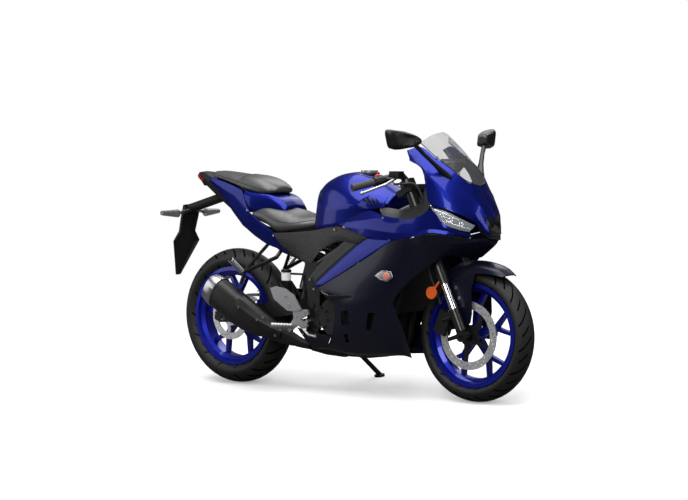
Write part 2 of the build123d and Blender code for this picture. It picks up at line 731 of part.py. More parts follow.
def swingarm():
    """Two box arms, cross member, pivot tube and the rear axle."""
    parts = []
    for side in (-1, 1):
        inner = SWINGARM_INNER
        outer = SWINGARM_INNER + SWINGARM_THICKNESS
        outline = [(-48, 336), (-52, 300), (-20, 286), (60, 292), (300, 322), (PIVOT_X - 16, 362),
                   (PIVOT_X + 18, PIVOT_Z - 20), (PIVOT_X + 18, PIVOT_Z + 20), (PIVOT_X - 20, 424), (300, 396),
                   (60, 346)]
        parts.append(plate(outline, side, inner, outer))
    parts.append(Pos(372, 0, 374) * Box(56, 2 * SWINGARM_INNER + 10, 50))
    parts.append(rod((PIVOT_X, -SWINGARM_INNER - 5, PIVOT_Z), (PIVOT_X, SWINGARM_INNER + 5, PIVOT_Z), 20))
    arm_piece = join(parts)
    bore = rod((PIVOT_X, -200, PIVOT_Z), (PIVOT_X, 200, PIVOT_Z), PIVOT_RADIUS + SEAT_GAP)
    arm_piece = arm_piece - bore
    for side in (-1, 1):
        outer = SWINGARM_INNER + SWINGARM_THICKNESS
        face = Vector(SPOOL_X, side * (outer + 4), SPOOL_Z)
        arm_piece = arm_piece + rod(face - Vector(0, side * 10, 0), face, SPOOL_BOSS_RADIUS)
        arm_piece = arm_piece - rod(face - Vector(0, side * SPOOL_HOLE_DEPTH, 0), face + Vector(0, side, 0),
                                    SPOOL_HOLE_RADIUS)
    axle = rod(REAR_AXLE + Vector(0, -140, 0), REAR_AXLE + Vector(0, 140, 0), REAR_AXLE_RADIUS)
    return [arm_piece + axle]


def shock_absorber():
    """Single rear damper with its spring, from the swingarm's cross member up to the frame."""
    low = Vector(392, 0, 402)
    high = place(470, 0, 640)
    spring = rod(low + (high - low) * 0.22, low + (high - low) * 0.86, 34)
    return [spring + rod(low, high, 14)]


def chain_loop(extra):
    """Outline round both sprockets, larger than their pitch circles by extra."""
    rear = Vector(0, REAR_TYRE_RADIUS, 0)
    front = Vector(along(FRONT_SPROCKET_X), FRONT_SPROCKET_Z, 0)
    run = front - rear
    length = run.length
    slope = math.atan2(run.Y, run.X)
    lean = math.acos((REAR_SPROCKET_RADIUS - FRONT_SPROCKET_RADIUS) / length)
    big = REAR_SPROCKET_RADIUS + extra
    small = FRONT_SPROCKET_RADIUS + extra

    def at(centre, radius, angle):
        return Vector(centre.X + radius * math.cos(angle), centre.Y + radius * math.sin(angle), 0)
    up = slope + lean
    down = slope - lean
    edges = [
        Line(at(rear, big, up), at(front, small, up)),
        ThreePointArc(at(front, small, up), at(front, small, slope), at(front, small, down)),
        Line(at(front, small, down), at(rear, big, down)),
        ThreePointArc(at(rear, big, down), at(rear, big, slope + math.pi), at(rear, big, up)),
    ]
    return make_face(edges)


def drive_chain():
    """Closed loop of roller chain on the left."""
    face = chain_loop(CHAIN_HALF_DEPTH) - chain_loop(-CHAIN_HALF_DEPTH)
    start = CHAIN_OFFSET - CHAIN_WIDTH / 2
    sketch = Plane(origin=(0, start, 0), x_dir=(1, 0, 0), z_dir=(0, -1, 0)) * face
    return [extrude(sketch, amount=CHAIN_WIDTH, dir=(0, 1, 0))]


def rear_sprocket():
    """Sprocket inside the chain's loop, on a boss against the hub."""
    radius = REAR_SPROCKET_RADIUS - CHAIN_HALF_DEPTH - SEAT_GAP
    low = CHAIN_OFFSET - 3
    high = CHAIN_OFFSET + 3
    ring = turned([(REAR_AXLE_RADIUS + 6, HUB_HALF_LENGTH + SEAT_GAP), (42, HUB_HALF_LENGTH + SEAT_GAP), (42, low),
                   (radius, low), (radius, high), (REAR_AXLE_RADIUS + 6, high)], Vector(0, 0, 0))
    for number in range(6):
        point = polar(61, 60 * number)
        start = Vector(point.X, low - 1, point.Z)
        ring = ring - rod(start, start + Vector(0, 8, 0), 10)
    return [Pos(REAR_AXLE) * ring]


# ---------------------------------------------------------------- bodywork
# x, then (half width, z) from the bottom centre round to the top centre
TANK_RINGS = (
    (538, ((0, 742), (98, 740), (88, 800), (70, 880), (50, 910), (0, 920))),
    (600, ((0, 742), (122, 740), (120, 830), (97, 926), (62, 952), (0, 962))),
    (680, ((0, 750), (140, 748), (142, 838), (120, 926), (72, 978), (0, 990))),
    (770, ((0, 772), (152, 770), (158, 846), (136, 908), (70, 982), (0, 991))),
    (850, ((0, 800), (156, 800), (158, 848), (142, 880), (64, 956), (0, 972))),
    (920, ((0, 822), (146, 824), (146, 850), (130, 876), (52, 926), (0, 938))),
    (972, ((0, 836), (104, 838), (110, 856), (90, 872), (40, 900), (0, 906))),
)


CAP_X = 780.0
CAP_Z = 993.0
CAP_RADIUS = 38.0
CAP_THICKNESS = 8.0


def fuel_tank():
    """Tank with knee recesses, cut round the frame rails."""
    shell = body([half_ring(x, points) for x, points in TANK_RINGS])
    neck = rod(place(CAP_X, 0, CAP_Z - 40), place(CAP_X, 0, CAP_Z), CAP_RADIUS + 5)
    return [shell + neck]


def fuel_cap():
    """Round filler cap, hinged at its front."""
    base = place(CAP_X, 0, CAP_Z + SEAT_GAP)
    return [rod(base, base + Vector(0, 0, CAP_THICKNESS), CAP_RADIUS)]


def tank_side_panels():
    """Blue pods beside the front of the tank, with louvres."""
    def one(side):
        rows = (
            ((838, 160, 862), (838, 158, 846), (850, 158, 832)),
            ((890, 150, 892), (890, 163, 866), (900, 166, 832)),
            ((940, 136, 900), (942, 156, 872), (946, 165, 836)),
            ((982, 120, 890), (984, 142, 868), (986, 154, 844)),
        )
        return sheet(rows, side)
    return pair(one)


RIDER_SEAT_RINGS = (
    (166, ((0, 778), (106, 782), (111, 800), (96, 812), (0, 818))),
    (250, ((0, 748), (116, 755), (127, 772), (110, 806), (0, 828))),
    (330, ((0, 724), (126, 722), (136, 742), (116, 784), (0, 820))),
    (430, ((0, 726), (118, 726), (129, 742), (104, 768), (0, 788))),
    (500, ((0, 734), (104, 736), (114, 752), (90, 778), (0, 796))),
    (556, ((0, 748), (72, 748), (82, 764), (66, 786), (0, 800))),
)


def rider_seat():
    """Rider's saddle, a crowned pad that narrows to the tank."""
    return [body([half_ring(x, points) for x, points in RIDER_SEAT_RINGS])]


PILLION_SEAT_RINGS = (
    (-118, ((0, 964), (58, 966), (70, 970), (54, 986), (0, 990))),
    (-15, ((0, 938), (78, 942), (89, 948), (66, 974), (0, 982))),
    (75, ((0, 916), (94, 919), (103, 926), (74, 962), (0, 974))),
    (125, ((0, 902), (98, 904), (106, 916), (74, 962), (0, 974))),
    (200, ((0, 888), (94, 890), (102, 902), (72, 944), (0, 956))),
    (262, ((0, 888), (80, 888), (90, 900), (62, 920), (0, 934))),
    (302, ((0, 896), (52, 896), (60, 904), (40, 912), (0, 916))),
)


def pillion_seat():
    """Passenger's seat on top of the tail."""
    return [body([half_ring(x, points) for x, points in PILLION_SEAT_RINGS])]


# rows from the upper edge to the lower edge of the tail's side, each station (x, half width, z)
TAIL_SIDE = (
    ((-116, 74, 962), (-116, 79, 950), (-122, 73, 938)),
    (( -26, 87, 942), (-20, 92, 912), (-20, 84, 862)),
    ((61, 104, 920), (60, 104, 880), (40, 92, 802)),
    ((114, 111, 902), (124, 113, 830), (109, 100, 740)),
    ((158, 117, 806), (176, 117, 782), (187, 105, 694)),
    ((240, 122, 756), (250, 121, 735), (266, 110, 658)),
    ((318, 122, 712), (330, 121, 694), (340, 112, 638)),
    ((400, 116, 636), (403, 116, 628), (405, 115, 618)),
)
HUMP_RINGS = (
    (121, ((0, 812), (108, 812), (110, 880), (102, 902), (0, 904))),
    (170, ((0, 808), (108, 808), (110, 872), (100, 893), (0, 896))),
    (258, ((0, 812), (98, 812), (99, 860), (90, 884), (0, 888))),
    (318, ((0, 812), (84, 812), (88, 838), (72, 862), (0, 868))),
    (352, ((0, 808), (70, 808), (74, 820), (60, 832), (0, 836))),
)


def tail_cowls():
    """Painted side cowls and the hump between the seats."""
    return pair(lambda side: sheet(TAIL_SIDE, side))


def tail_hump():
    """Painted rise behind the rider's seat that carries the passenger's."""
    return [body([half_ring(x, points) for x, points in HUMP_RINGS])]


def tail_centre():
    """Black centre of the tail, from under the seat to its pointed end."""
    rings = (
        (-243, ((0, 966), (12, 967), (16, 974), (12, 981), (0, 982))),
        (-190, ((0, 930), (36, 932), (46, 952), (40, 982), (0, 986))),
        (-122, ((0, 886), (50, 890), (60, 930), (56, 958), (0, 962))),
        (-60, ((0, 848), (58, 852), (66, 890), (62, 930), (0, 940))),
        (20, ((0, 800), (64, 803), (70, 840), (66, 890), (0, 900))),
    )
    return [body([half_ring(x, points) for x, points in rings])]


TAIL_LAMP_RINGS = (
    (-246, ((0, 956), (14, 957), (18, 966), (14, 972), (0, 973))),
    (-186, ((0, 918), (38, 920), (48, 940), (44, 962), (0, 964))),
)


def rear_lamps():
    """Tail lamp under the tail's end and the two rear indicators on the plate's carrier."""
    def indicator(side):
        stem = rod((-297, side * 6, 802), (-300, side * 110, 786), 8)
        head = rod((-304, side * 96, 786), (-312, side * 199, 790), 19, 11)
        return stem + head
    return pair(indicator) + [body([half_ring(x, points) for x, points in TAIL_LAMP_RINGS])]


def plate_hanger():
    """Arm under the tail and the long carrier for the registration plate."""
    arm_piece = rod((-96, 0, 868), (-322, 0, 804), 22)
    carrier = (
        ((-318, 0, 828), (-318, 44, 826), (-300, 52, 800)),
        ((-330, 0, 770), (-328, 50, 770), (-312, 56, 766)),
        ((-345, 0, 700), (-343, 48, 700), (-328, 52, 700)),
        ((-356, 0, 645), (-354, 74, 648), (-338, 92, 655)),
        ((-400, 0, 490), (-398, 12, 490), (-392, 18, 492)),
    )
    halves = [sheet(carrier, side, 5) for side in (-1, 1)]
    return [join([arm_piece] + halves)]


# nose: rear to front; edge beside the screen (later the centre line), middle, crease, side, edge over the lamp
NOSE_ROWS = (
    ((1093, 130, 1094), (1104, 137, 1078), (1115, 142, 1060), (1117, 144, 1055), (1119, 146, 1050)),
    ((1155, 112, 1110), (1174, 134, 1068), (1194, 155, 1024), (1196, 157, 1018), (1198, 159, 1012)),
    ((1236, 108, 1061), (1245, 138, 1020), (1254, 165, 977), (1258, 176, 930), (1266, 189, 862)),
    ((1313, 100, 1013), (1318, 126, 970), (1325, 150, 926), (1336, 162, 882), (1342, 172, 842)),
    ((1372, 75, 963), (1373, 104, 920), (1380, 125, 880), (1386, 136, 846), (1394, 139, 817)),
    ((1394, 38, 945), (1403, 87, 896), (1409, 108, 846), (1414, 112, 824), (1416, 114, 802)),
    ((1396, 0, 939), (1432, 56, 872), (1436, 92, 812), (1435, 92, 799), (1434, 92, 786)),
    ((1422, 0, 890), (1442, 44, 856), (1452, 73, 786), (1449, 76, 777), (1446, 77, 768)),
    ((1447, 0, 848), (1456, 40, 815), (1466, 57, 757), (1463, 61, 752), (1460, 63, 748)),
    ((1471, 0, 804), (1468, 42, 784), (1475, 42, 733), (1473, 44, 730), (1471, 46, 728)),
)


def nose_cowl():
    """Painted nose: shoulders beside the screen, beak, and sides above the lamps."""
    return [join([sheet(NOSE_ROWS, side) for side in (-1, 1)])]


LAMP_ROWS = (
    ((1270, 189, 850), (1280, 190, 838)),
    ((1342, 171, 832), (1329, 192, 786)),
    ((1390, 137, 804), (1382, 156, 758)),
    ((1434, 90, 772), (1418, 111, 745)),
)


def front_lamps():
    """Slanted headlamp lenses."""
    return pair(lambda side: sheet(LAMP_ROWS, side, 8))


SCREEN_ROWS = (
    ((1191, 0, 1175), (1176, 62, 1160), (1145, 103, 1128)),
    ((1250, 0, 1122), (1246, 62, 1105), (1236, 105, 1064)),
    ((1318, 0, 1048), (1316, 60, 1036), (1312, 97, 1016)),
    ((1366, 0, 983), (1365, 44, 976), (1368, 72, 966)),
    ((1394, 0, 942), (1393, 18, 943), (1391, 34, 948)),
)


SCREEN_THICKNESS = 2.5


def windscreen():
    """Clear screen, a double-curved sheet, with a rubber nut under each edge that meets the nose."""
    halves = [sheet(SCREEN_ROWS, side, SCREEN_THICKNESS) for side in (-1, 1)]
    nuts = []
    for side in (-1, 1):
        nut = rod(place(1240, side * 106.5, 1028), place(1240, side * 106.5, 1061), 6)
        nuts.append(carve(nut, halves + [sheet(NOSE_ROWS, side)]))
    return [join(halves)] + nuts


# upper fairing: rows from rear to front; top inner edge, top edge, high crease, shoulder, lower edge
UPPER_ROWS = (
    ((720, 150, 766), (722, 152, 765), (729, 158, 764), (736, 162, 763)),
    ((805, 158, 795), (808, 176, 775), (806, 178, 752), (800, 176, 742)),
    ((904, 163, 828), (900, 190, 786), (898, 198, 750), (890, 196, 722)),
    ((1003, 188, 810), (1000, 196, 796), (1000, 210, 742), (985, 206, 706)),
    ((1081, 198, 800), (1081, 204, 780), (1084, 215, 736), (1084, 213, 706)),
    ((1156, 203, 796), (1157, 207, 778), (1158, 216, 736), (1160, 216, 715)),
    ((1225, 203, 814), (1224, 208, 785), (1224, 213, 745), (1226, 217, 728)),
    ((1278, 194, 838), (1280, 200, 795), (1284, 206, 756), (1286, 214, 741)),
    ((1336, 190, 782), (1343, 190, 766), (1346, 186, 750), (1350, 196, 736)),
    ((1385, 157, 752), (1386, 158, 746), (1384, 155, 739), (1380, 160, 731)),
    ((1421, 111, 739), (1424, 106, 734), (1428, 99, 727), (1430, 90, 720)),
)


def upper_fairings():
    """Painted flanks from the tank's side to the nose."""
    return pair(lambda side: sheet(UPPER_ROWS, side))


BLADE_ROWS = (
    ((924, 190, 711), (985, 202, 706), (1079, 214, 702)),
    ((859, 190, 673), (900, 202, 650), (946, 208, 631)),
    ((728, 188, 578), (760, 196, 565), (794, 200, 553)),
    ((616, 186, 494), (626, 190, 486), (640, 192, 478)),
)


def fairing_blades():
    """Painted diagonal blades on the flanks."""
    return pair(lambda side: sheet(BLADE_ROWS, side))


INNER_ROWS = (
    ((770, 168, 688), (842, 176, 680), (866, 189, 676)),
    ((640, 163, 597), (715, 172, 594), (734, 187, 581)),
    ((554, 160, 514), (590, 166, 500), (618, 185, 493)),
)


def inner_fairings():
    """Grey infill behind each blade."""
    return pair(lambda side: sheet(INNER_ROWS, side))


# lower fairing: each row from the upper edge to the bottom edge, (x, half width, z)
LOWER_ROWS = (
    ((640, 192, 477), (676, 195, 445), (739, 197, 408), (731, 188, 339), (696, 170, 256), (640, 130, 204),
     (600, 70, 186)),
    ((794, 200, 552), (800, 212, 480), (812, 216, 410), (806, 204, 340), (790, 176, 262), (770, 130, 196),
     (760, 70, 172)),
    ((946, 208, 630), (946, 220, 540), (940, 222, 430), (936, 208, 345), (930, 180, 270), (920, 132, 200),
     (915, 74, 178)),
    ((1079, 214, 700), (1070, 218, 590), (1050, 212, 470), (1040, 200, 380), (1036, 176, 292), (1034, 132, 210),
     (1032, 78, 186)),
    ((1180, 219, 713), (1182, 200, 640), (1164, 182, 541), (1069, 186, 430), (1081, 180, 368), (1106, 160, 284),
     (1116, 124, 184)),
)
# the lower fairing's tail under the engine, front to rear, upper edge to bottom edge
BELLY_ROWS = (
    ((695, 170, 256), (667, 150, 230), (639, 130, 204), (599, 70, 186)),
    ((612, 164, 268), (610, 150, 236), (596, 132, 205), (572, 72, 187)),
    ((540, 158, 279), (556, 146, 240), (570, 128, 200), (556, 74, 188)),
    ((480, 150, 289), (512, 146, 250), (552, 126, 198), (540, 78, 190)),
)
BELLY_LAP = 0.8


def lower_fairings():
    """Dark lower flanks that close into the belly; the right one has a tail, the left one stops at the stand."""
    tail = [[(x - BELLY_LAP, w, z) for x, w, z in row] for row in BELLY_ROWS]
    return pair(lambda side: sheet(LOWER_ROWS, side)) + [sheet(tail, -1)]


CHIN_ROWS = (
    ((1181, 220, 715), (1181, 218, 697), (1183, 200, 640), (1166, 182, 540)),
    ((1279, 222, 735), (1274, 217, 692), (1283, 188, 660), (1258, 165, 603)),
    ((1366, 172, 727), (1362, 156, 692), (1355, 130, 668), (1310, 128, 637)),
    ((1424, 93, 715), (1409, 112, 699), (1415, 60, 672), (1396, 9, 629)),
    ((1464, 47, 715), (1468, 38, 708), (1472, 20, 694), (1470, 0, 679)),
)


def chin_fairings():
    """Dark ledges under the lamps that meet in the chin, each with its screw boss behind the joint."""
    pieces = []
    for side in (-1, 1):
        ledge = sheet(CHIN_ROWS, side)
        boss = rod(place(1179, side * 226, 672), place(1181, side * 194, 672), 9)
        pieces += [ledge, carve(boss, [ledge, sheet(LOWER_ROWS, side)])]
    return pieces


def nose_intake():
    """Black mouth under the beak."""
    rings = (
        (1430, ((0, 736), (50, 742), (66, 772), (56, 806), (0, 812))),
        (1464, ((0, 708), (36, 716), (46, 736), (52, 766), (0, 796))),
        (1503, ((0, 708), (3, 710), (3, 722), (2, 735), (0, 737))),
    )
    return [body([half_ring(x, points) for x, points in rings])]


COCKPIT_ROWS = (
    ((961, 150, 840), (963, 156, 838), (965, 160, 836)),
    ((1003, 150, 842), (1003, 168, 826), (1003, 184, 806)),
    ((1081, 152, 836), (1081, 174, 816), (1081, 194, 796)),
    ((1149, 158, 849), (1152, 180, 822), (1156, 199, 792)),
    ((1199, 160, 875), (1212, 182, 844), (1225, 199, 812)),
    ((1210, 160, 921), (1240, 176, 880), (1262, 190, 850)),
    ((1246, 162, 975), (1250, 164, 950), (1254, 172, 925)),
)


def cockpit_panels():
    """Black inner panels beside the fork, each on a boss of the upper fairing."""
    def one(side):
        panel = sheet(COCKPIT_ROWS, side)
        boss = rod(place(1082, side * 178, 797), place(1082, side * 214, 797), 7)
        return [panel, carve(boss, [panel, sheet(UPPER_ROWS, side)])]
    return one(-1) + one(1)


def instrument_panel():
    """Meter housing behind the screen, on a stay from the steering head."""
    face = Plane(origin=place(1226, 0, 1018), x_dir=(0, 1, 0), z_dir=(-0.72, 0, 0.69))
    case = face * Box(164, 84, 26)
    root = on_head(600) + STEERING_SIDE * 24
    elbow = on_head(600) + STEERING_SIDE * 125
    stay = rod(root, elbow, 9) + rod(elbow, place(1234, 0, 1010), 8)
    return [case + stay]


def mirrors():
    """Mirror heads on stalks from the nose."""
    def one(side):
        foot = place(1304, side * 120, 984)
        elbow = place(1222, side * 268, 1134)
        stalk = rod(foot, elbow, 9)
        corners = ((236, 1114), (244, 1158), (300, 1178), (384, 1184), (390, 1172), (372, 1108), (330, 1098))
        front = [place(1232 + (240 - y) * 0.2, side * (y * 0.97 + 9), 1140 + (z - 1140) * 0.8) for y, z in corners]
        back = [place(1206 + (240 - y) * 0.2, side * y, z) for y, z in corners]
        tip = [place(1250 + (240 - y) * 0.2, side * (y * 0.6 + 120), 1140 + (z - 1140) * 0.3) for y, z in corners]
        return body([back, front, tip]) + stalk
    return pair(one)


def side_covers():
    """Textured covers under the seat's front, over the frame."""
    rows = (
        ((320, 126, 712), (334, 127, 690), (352, 124, 664)),
        ((424, 124, 717), (426, 128, 668), (429, 122, 615)),
        ((540, 122, 727), (541, 134, 660), (542, 140, 572)),
        ((600, 128, 737), (606, 138, 690), (612, 144, 640)),
        ((712, 142, 752), (718, 152, 716), (722, 150, 684)),
        ((839, 163, 733), (840, 168, 704), (841, 167, 678)),
        ((905, 170, 712), (905, 172, 708), (905, 171, 704)),
    )
    return pair(lambda side: sheet(rows, side))


def pillion_hangers():
    """Passenger's footrest hangers and rests."""
    pieces = []
    for side in (-1, 1):
        hanger = rod(place(330, side * 118, 600), place(160, side * 146, 530), 9)
        root = rod(place(335, side * 88, 632), place(330, side * 118, 600), 9)
        strut = rod(place(262, side * 82, 668), place(150, side * 146, 524), 8)
        foot = rod(place(152, side * 140, 520), place(140, side * 152, 470), 8)
        peg = rod(place(150, side * 150, 528), place(150, side * 232, 590), 11)
        pieces.append(hanger + root + strut + foot + peg)
    return pieces


def footrests():
    """Rider's footrest brackets with heel guards and pedals."""
    pieces = []
    for side in (-1, 1):
        guard = plate([(341, 463), (377, 473), (433, 464), (485, 436), (527, 374), (501, 364), (445, 364),
                       (365, 413)], side, 171, 176)
        bracket = plate([(470, 372), (500, 372), (560, 374), (566, 352), (520, 330), (560, 302), (552, 286),
                         (500, 300), (452, 268), (440, 284), (476, 330)], side, 160, 170.7)
        stay = rod(place(546, side * (139 + SEAT_GAP), 320), place(546, side * 162, 320), 9)
        rest = rod(place(462, side * 165, 296), place(400, side * 238, 300), 11)
        pieces.append(guard + bracket + stay + rest + rod(place(485, side * 165, 372), place(485, side * 173, 372), 12))
        pedal = tube([place(500, side * 156, 300), place(570, side * 178, 262), place(624, side * 186, 256)], 6, [20])
        pieces.append(pedal)
    return pieces


def stand_bracket():
    """Lug on the frame's left side with the stand's pivot bolt."""
    inner = STAND_PIVOT - STAND_AXIS * (STAND_EYE_LENGTH / 2 + SEAT_GAP)
    outer = STAND_PIVOT + STAND_AXIS * (STAND_EYE_LENGTH / 2 + SEAT_GAP)
    lug = rod(inner - STAND_AXIS * 16, inner, 15)
    strut = rod(inner - STAND_AXIS * 16, place(556, 88, 262), 8)
    bolt = rod(inner, outer, STAND_PIN_RADIUS)
    head = rod(outer, outer + STAND_AXIS * 5, STAND_PIN_RADIUS + 4)
    return join([lug, strut, bolt, head])


def side_stand():
    """Leg that carries the parked machine: eye, bar, tang and foot."""
    foot = floor_point(STAND_FOOT_X, STAND_FOOT_Y, STAND_PAD_THICKNESS)
    eye_half = STAND_AXIS * (STAND_EYE_LENGTH / 2)
    eye = rod(STAND_PIVOT - eye_half, STAND_PIVOT + eye_half, STAND_EYE_RADIUS)
    leg = rod(STAND_PIVOT, foot, STAND_RADIUS)
    up = Vector(0, -math.sin(math.radians(LEAN)), math.cos(math.radians(LEAN)))
    base = floor_point(STAND_FOOT_X, STAND_FOOT_Y)
    pad = rod(base, base + up * STAND_PAD_THICKNESS, STAND_PAD_RADIUS)
    leg = leg - Plane(origin=base, z_dir=up) * Box(200, 200, 60, align=(Align.CENTER, Align.CENTER, Align.MAX))
    bore_half = STAND_AXIS * (STAND_EYE_LENGTH / 2 + 30)
    bore = rod(STAND_PIVOT - bore_half, STAND_PIVOT + bore_half, STAND_PIN_RADIUS + RUNNING_GAP)
    side_room = STAND_AXIS * (STAND_EYE_LENGTH / 2)
    inner_room = rod(STAND_PIVOT - side_room - STAND_AXIS * 30, STAND_PIVOT - side_room, 22)
    outer_room = rod(STAND_PIVOT + side_room, STAND_PIVOT + side_room + STAND_AXIS * 12, STAND_PIN_RADIUS + 5)
    return [join([eye, leg, pad]) - inner_room - outer_room - bore]


CHAIN_GUARD_WALL = ((40, 338), (60, 340), (320, 392), (400, 396), (420, 452), (300, 447), (60, 430), (40, 426))
CHAIN_GUARD_ROOF = ((40, 422), (300, 443), (420, 448), (420, 452), (300, 447), (40, 426))


def rear_hugger():
    """Guard ahead of the rear tyre on two tongues of the swingarm's cross member, and the chain guard."""
    rows = []
    for angle, half in ((6, 58), (20, 62), (34, 62)):
        row = []
        for share, lower in ((-1.0, 34), (-0.8, 8), (0.0, 0), (0.8, 8), (1.0, 34)):
            point = polar(REAR_TYRE_RADIUS + 16 - lower, angle)
            row.append(Vector(point.X, share * half, REAR_TYRE_RADIUS + point.Z))
        rows.append(row)
    tongues = [rod((281, y, 480), (354, y, 396), 7) for y in (-40, 40)]
    wall = plate(CHAIN_GUARD_WALL, 1, 93, 96)
    roof = plate(CHAIN_GUARD_ROOF, 1, 76, 93.5)
    return [join([thick_grid(rows, REAR_AXLE, PANEL)] + tongues), wall + roof]


def rear_brake():
    """Rear caliper on the disc, and the fluid reservoir above the footrest."""
    middle = REAR_AXLE + Vector(84, -REAR_DISC_OFFSET, 50)
    block = Pos(middle) * Rot(0, -30, 0) * Box(56, 44, 60)
    slot = turned([(40, -REAR_DISC_OFFSET - 5.5), (REAR_DISC_RADIUS + 4, -REAR_DISC_OFFSET - 5.5),
                   (REAR_DISC_RADIUS + 4, -REAR_DISC_OFFSET + 5.5), (40, -REAR_DISC_OFFSET + 5.5)], REAR_AXLE)
    lug = rod(REAR_AXLE + Vector(84, -78, 29), REAR_AXLE + Vector(84, -SWINGARM_INNER, 29), 10)
    reservoir = rod(place(416, -150, 498), place(416, -150, 548), 21)
    bracket = rod(place(425, -138, 530), place(524, -130, 530), 5)
    return [block + lug - slot, reservoir + bracket]


def front_hose():
    """Brake hose from the handlebar to the caliper, clipped behind the right fork leg."""
    start = bar_point(0.3, -1) + Vector(34, 8, -24)
    behind = -FORK_TUBE_RADIUS - 16
    route = [start, on_leg(700, -1, 60) + Vector(0, -24, 0), on_leg(600, -1, 48) + Vector(0, 6, 0),
             on_leg(480, -1, 48) + Vector(0, -14, 0), on_leg(400, -1, 10) + Vector(0, behind - 4, 0),
             on_leg(310, -1, behind - 4) + Vector(0, -12, 0), on_leg(176, -1, behind - 22) + Vector(0, 14, 0)]
    clip = rod(on_leg(400, -1, 2) + Vector(0, -22, 0), on_leg(400, -1, 10) + Vector(0, behind - 4, 0), 7)
    return [tube(route, 5, [40, 60, 60, 30, 60]) + clip]


# ---------------------------------------------------------------- node table: body, node, maker
# pieces that are shaped round a neighbour which they meet face to face: (piece, neighbour)
CARVED = (
    ("radiator", "exhaust"),
    ("tail_centre", "seat_subframe"),
    ("tail_centre", "rear_lamps"),
    ("engine", "exhaust"),
    ("engine", "lower_fairings"),
    ("engine", "main_frame"),
    ("rider_seat", "fuel_tank"),
    ("tail_hump", "tail_cowls"),
    ("rider_seat", "tail_hump"),
    ("tank_side_panels", "fuel_tank"),
    ("upper_fairings", "fuel_tank"),
    ("front_lamps", "upper_fairings"),
    ("nose_intake", "nose_cowl"),
    ("plate_hanger", "rear_lamps"),
    ("plate_hanger", "tail_centre"),
    ("side_covers", "main_frame"),
    ("pillion_seat", "tail_hump"),
    ("seat_subframe", "main_frame"),
    ("pillion_hangers", "seat_subframe"),
    ("nose_intake", "chin_fairings"),
    ("rear_hugger", "swingarm"),
    ("rear_brake", "main_frame"),
    ("mirrors", "nose_cowl"),
    ("inner_fairings", "fairing_blades"),
    ("instrument_panel", "main_frame"),
)


def build_nodes():
    """Every node's list of solids on the upright machine, by body."""
    front_rim = rim(FRONT_AXLE, FRONT_RIM_WIDTH, FRONT_AXLE_RADIUS, HUB_HALF_LENGTH)
    rear_rim = rim(REAR_AXLE, REAR_RIM_WIDTH, REAR_AXLE_RADIUS, HUB_HALF_LENGTH)
    nodes = {
        "chassis": {
            "main_frame": main_frame(),
            "seat_subframe": seat_subframe(),
            "engine": engine(),
            "radiator": radiator(),
            "exhaust": exhaust(),
            "silencer_covers": silencer_covers(),
            "silencer_shield": silencer_shield(),
            "swingarm": swingarm(),
            "shock_absorber": shock_absorber(),
            "drive_chain": drive_chain(),
            "rear_hugger": rear_hugger(),
            "rear_brake": rear_brake(),
            "fuel_tank": fuel_tank(),
            "tank_side_panels": tank_side_panels(),
            "side_covers": side_covers(),
            "rider_seat": rider_seat(),
            "pillion_seat": pillion_seat(),
            "tail_cowls": tail_cowls(),
            "tail_hump": tail_hump(),
            "tail_centre": tail_centre(),
            "rear_lamps": rear_lamps(),
            "plate_hanger": plate_hanger(),
            "nose_cowl": nose_cowl(),
            "front_lamps": front_lamps(),
            "nose_intake": nose_intake(),
            "windscreen": windscreen(),
            "cockpit_panels": cockpit_panels(),
            "instrument_panel": instrument_panel(),
            "upper_fairings": upper_fairings(),
            "fairing_blades": fairing_blades(),
            "inner_fairings": inner_fairings(),
            "lower_fairings": lower_fairings(),
            "chin_fairings": chin_fairings(),
            "mirrors": mirrors(),
            "footrests": footrests(),
            "pillion_hangers": pillion_hangers(),
        },
        "fuel_lid": {"fuel_cap": fuel_cap()},
        "steering": {
            "triple_clamps": triple_clamps(),
            "fork_legs": fork_legs(),
            "fork_stanchions": fork_stanchions(),
            "handlebars": handlebars(),
            "grips": grips(),
            "hand_controls": hand_controls(),
            "hand_levers": hand_levers(),
            "front_mudguard": front_mudguard(),
            "front_brake": front_brake(),
            "front_hose": front_hose(),
            "fork_reflectors": fork_reflectors(),
        },
        "front_wheel": {
            "front_rim": [front_rim],
            "front_tyre": [tyre(FRONT_AXLE, FRONT_TYRE_RADIUS, FRONT_TYRE_WIDTH, FRONT_RIM_WIDTH)],
            "front_disc": [brake_disc(FRONT_AXLE, FRONT_DISC_RADIUS, 34, 18, -FRONT_DISC_OFFSET)],
            "front_disc_carrier": [disc_carrier(FRONT_AXLE, FRONT_DISC_RADIUS, 34, -FRONT_DISC_OFFSET,
                                                HUB_HALF_LENGTH, 5)],
        },
        "rear_wheel": {
            "rear_rim": [rear_rim],
            "rear_tyre": [tyre(REAR_AXLE, REAR_TYRE_RADIUS, REAR_TYRE_WIDTH, REAR_RIM_WIDTH)],
            "rear_disc": [brake_disc(REAR_AXLE, REAR_DISC_RADIUS, 30, 12, -REAR_DISC_OFFSET),
                          disc_carrier(REAR_AXLE, REAR_DISC_RADIUS, 30, -REAR_DISC_OFFSET, HUB_HALF_LENGTH, 5)],
            "rear_sprocket": rear_sprocket(),
        },
        "side_stand": {"side_stand": side_stand()},
    }
    chassis = nodes["chassis"]
    for cut, tool in CARVED:
        chassis[cut] = [carve(piece, chassis[tool]) for piece in chassis[cut]]
    steering = nodes["steering"]
    for cut, tool in (("hand_levers", "hand_controls"), ("front_hose", "fork_legs")):
        steering[cut] = [carve(piece, steering[tool]) for piece in steering[cut]]
    return nodes


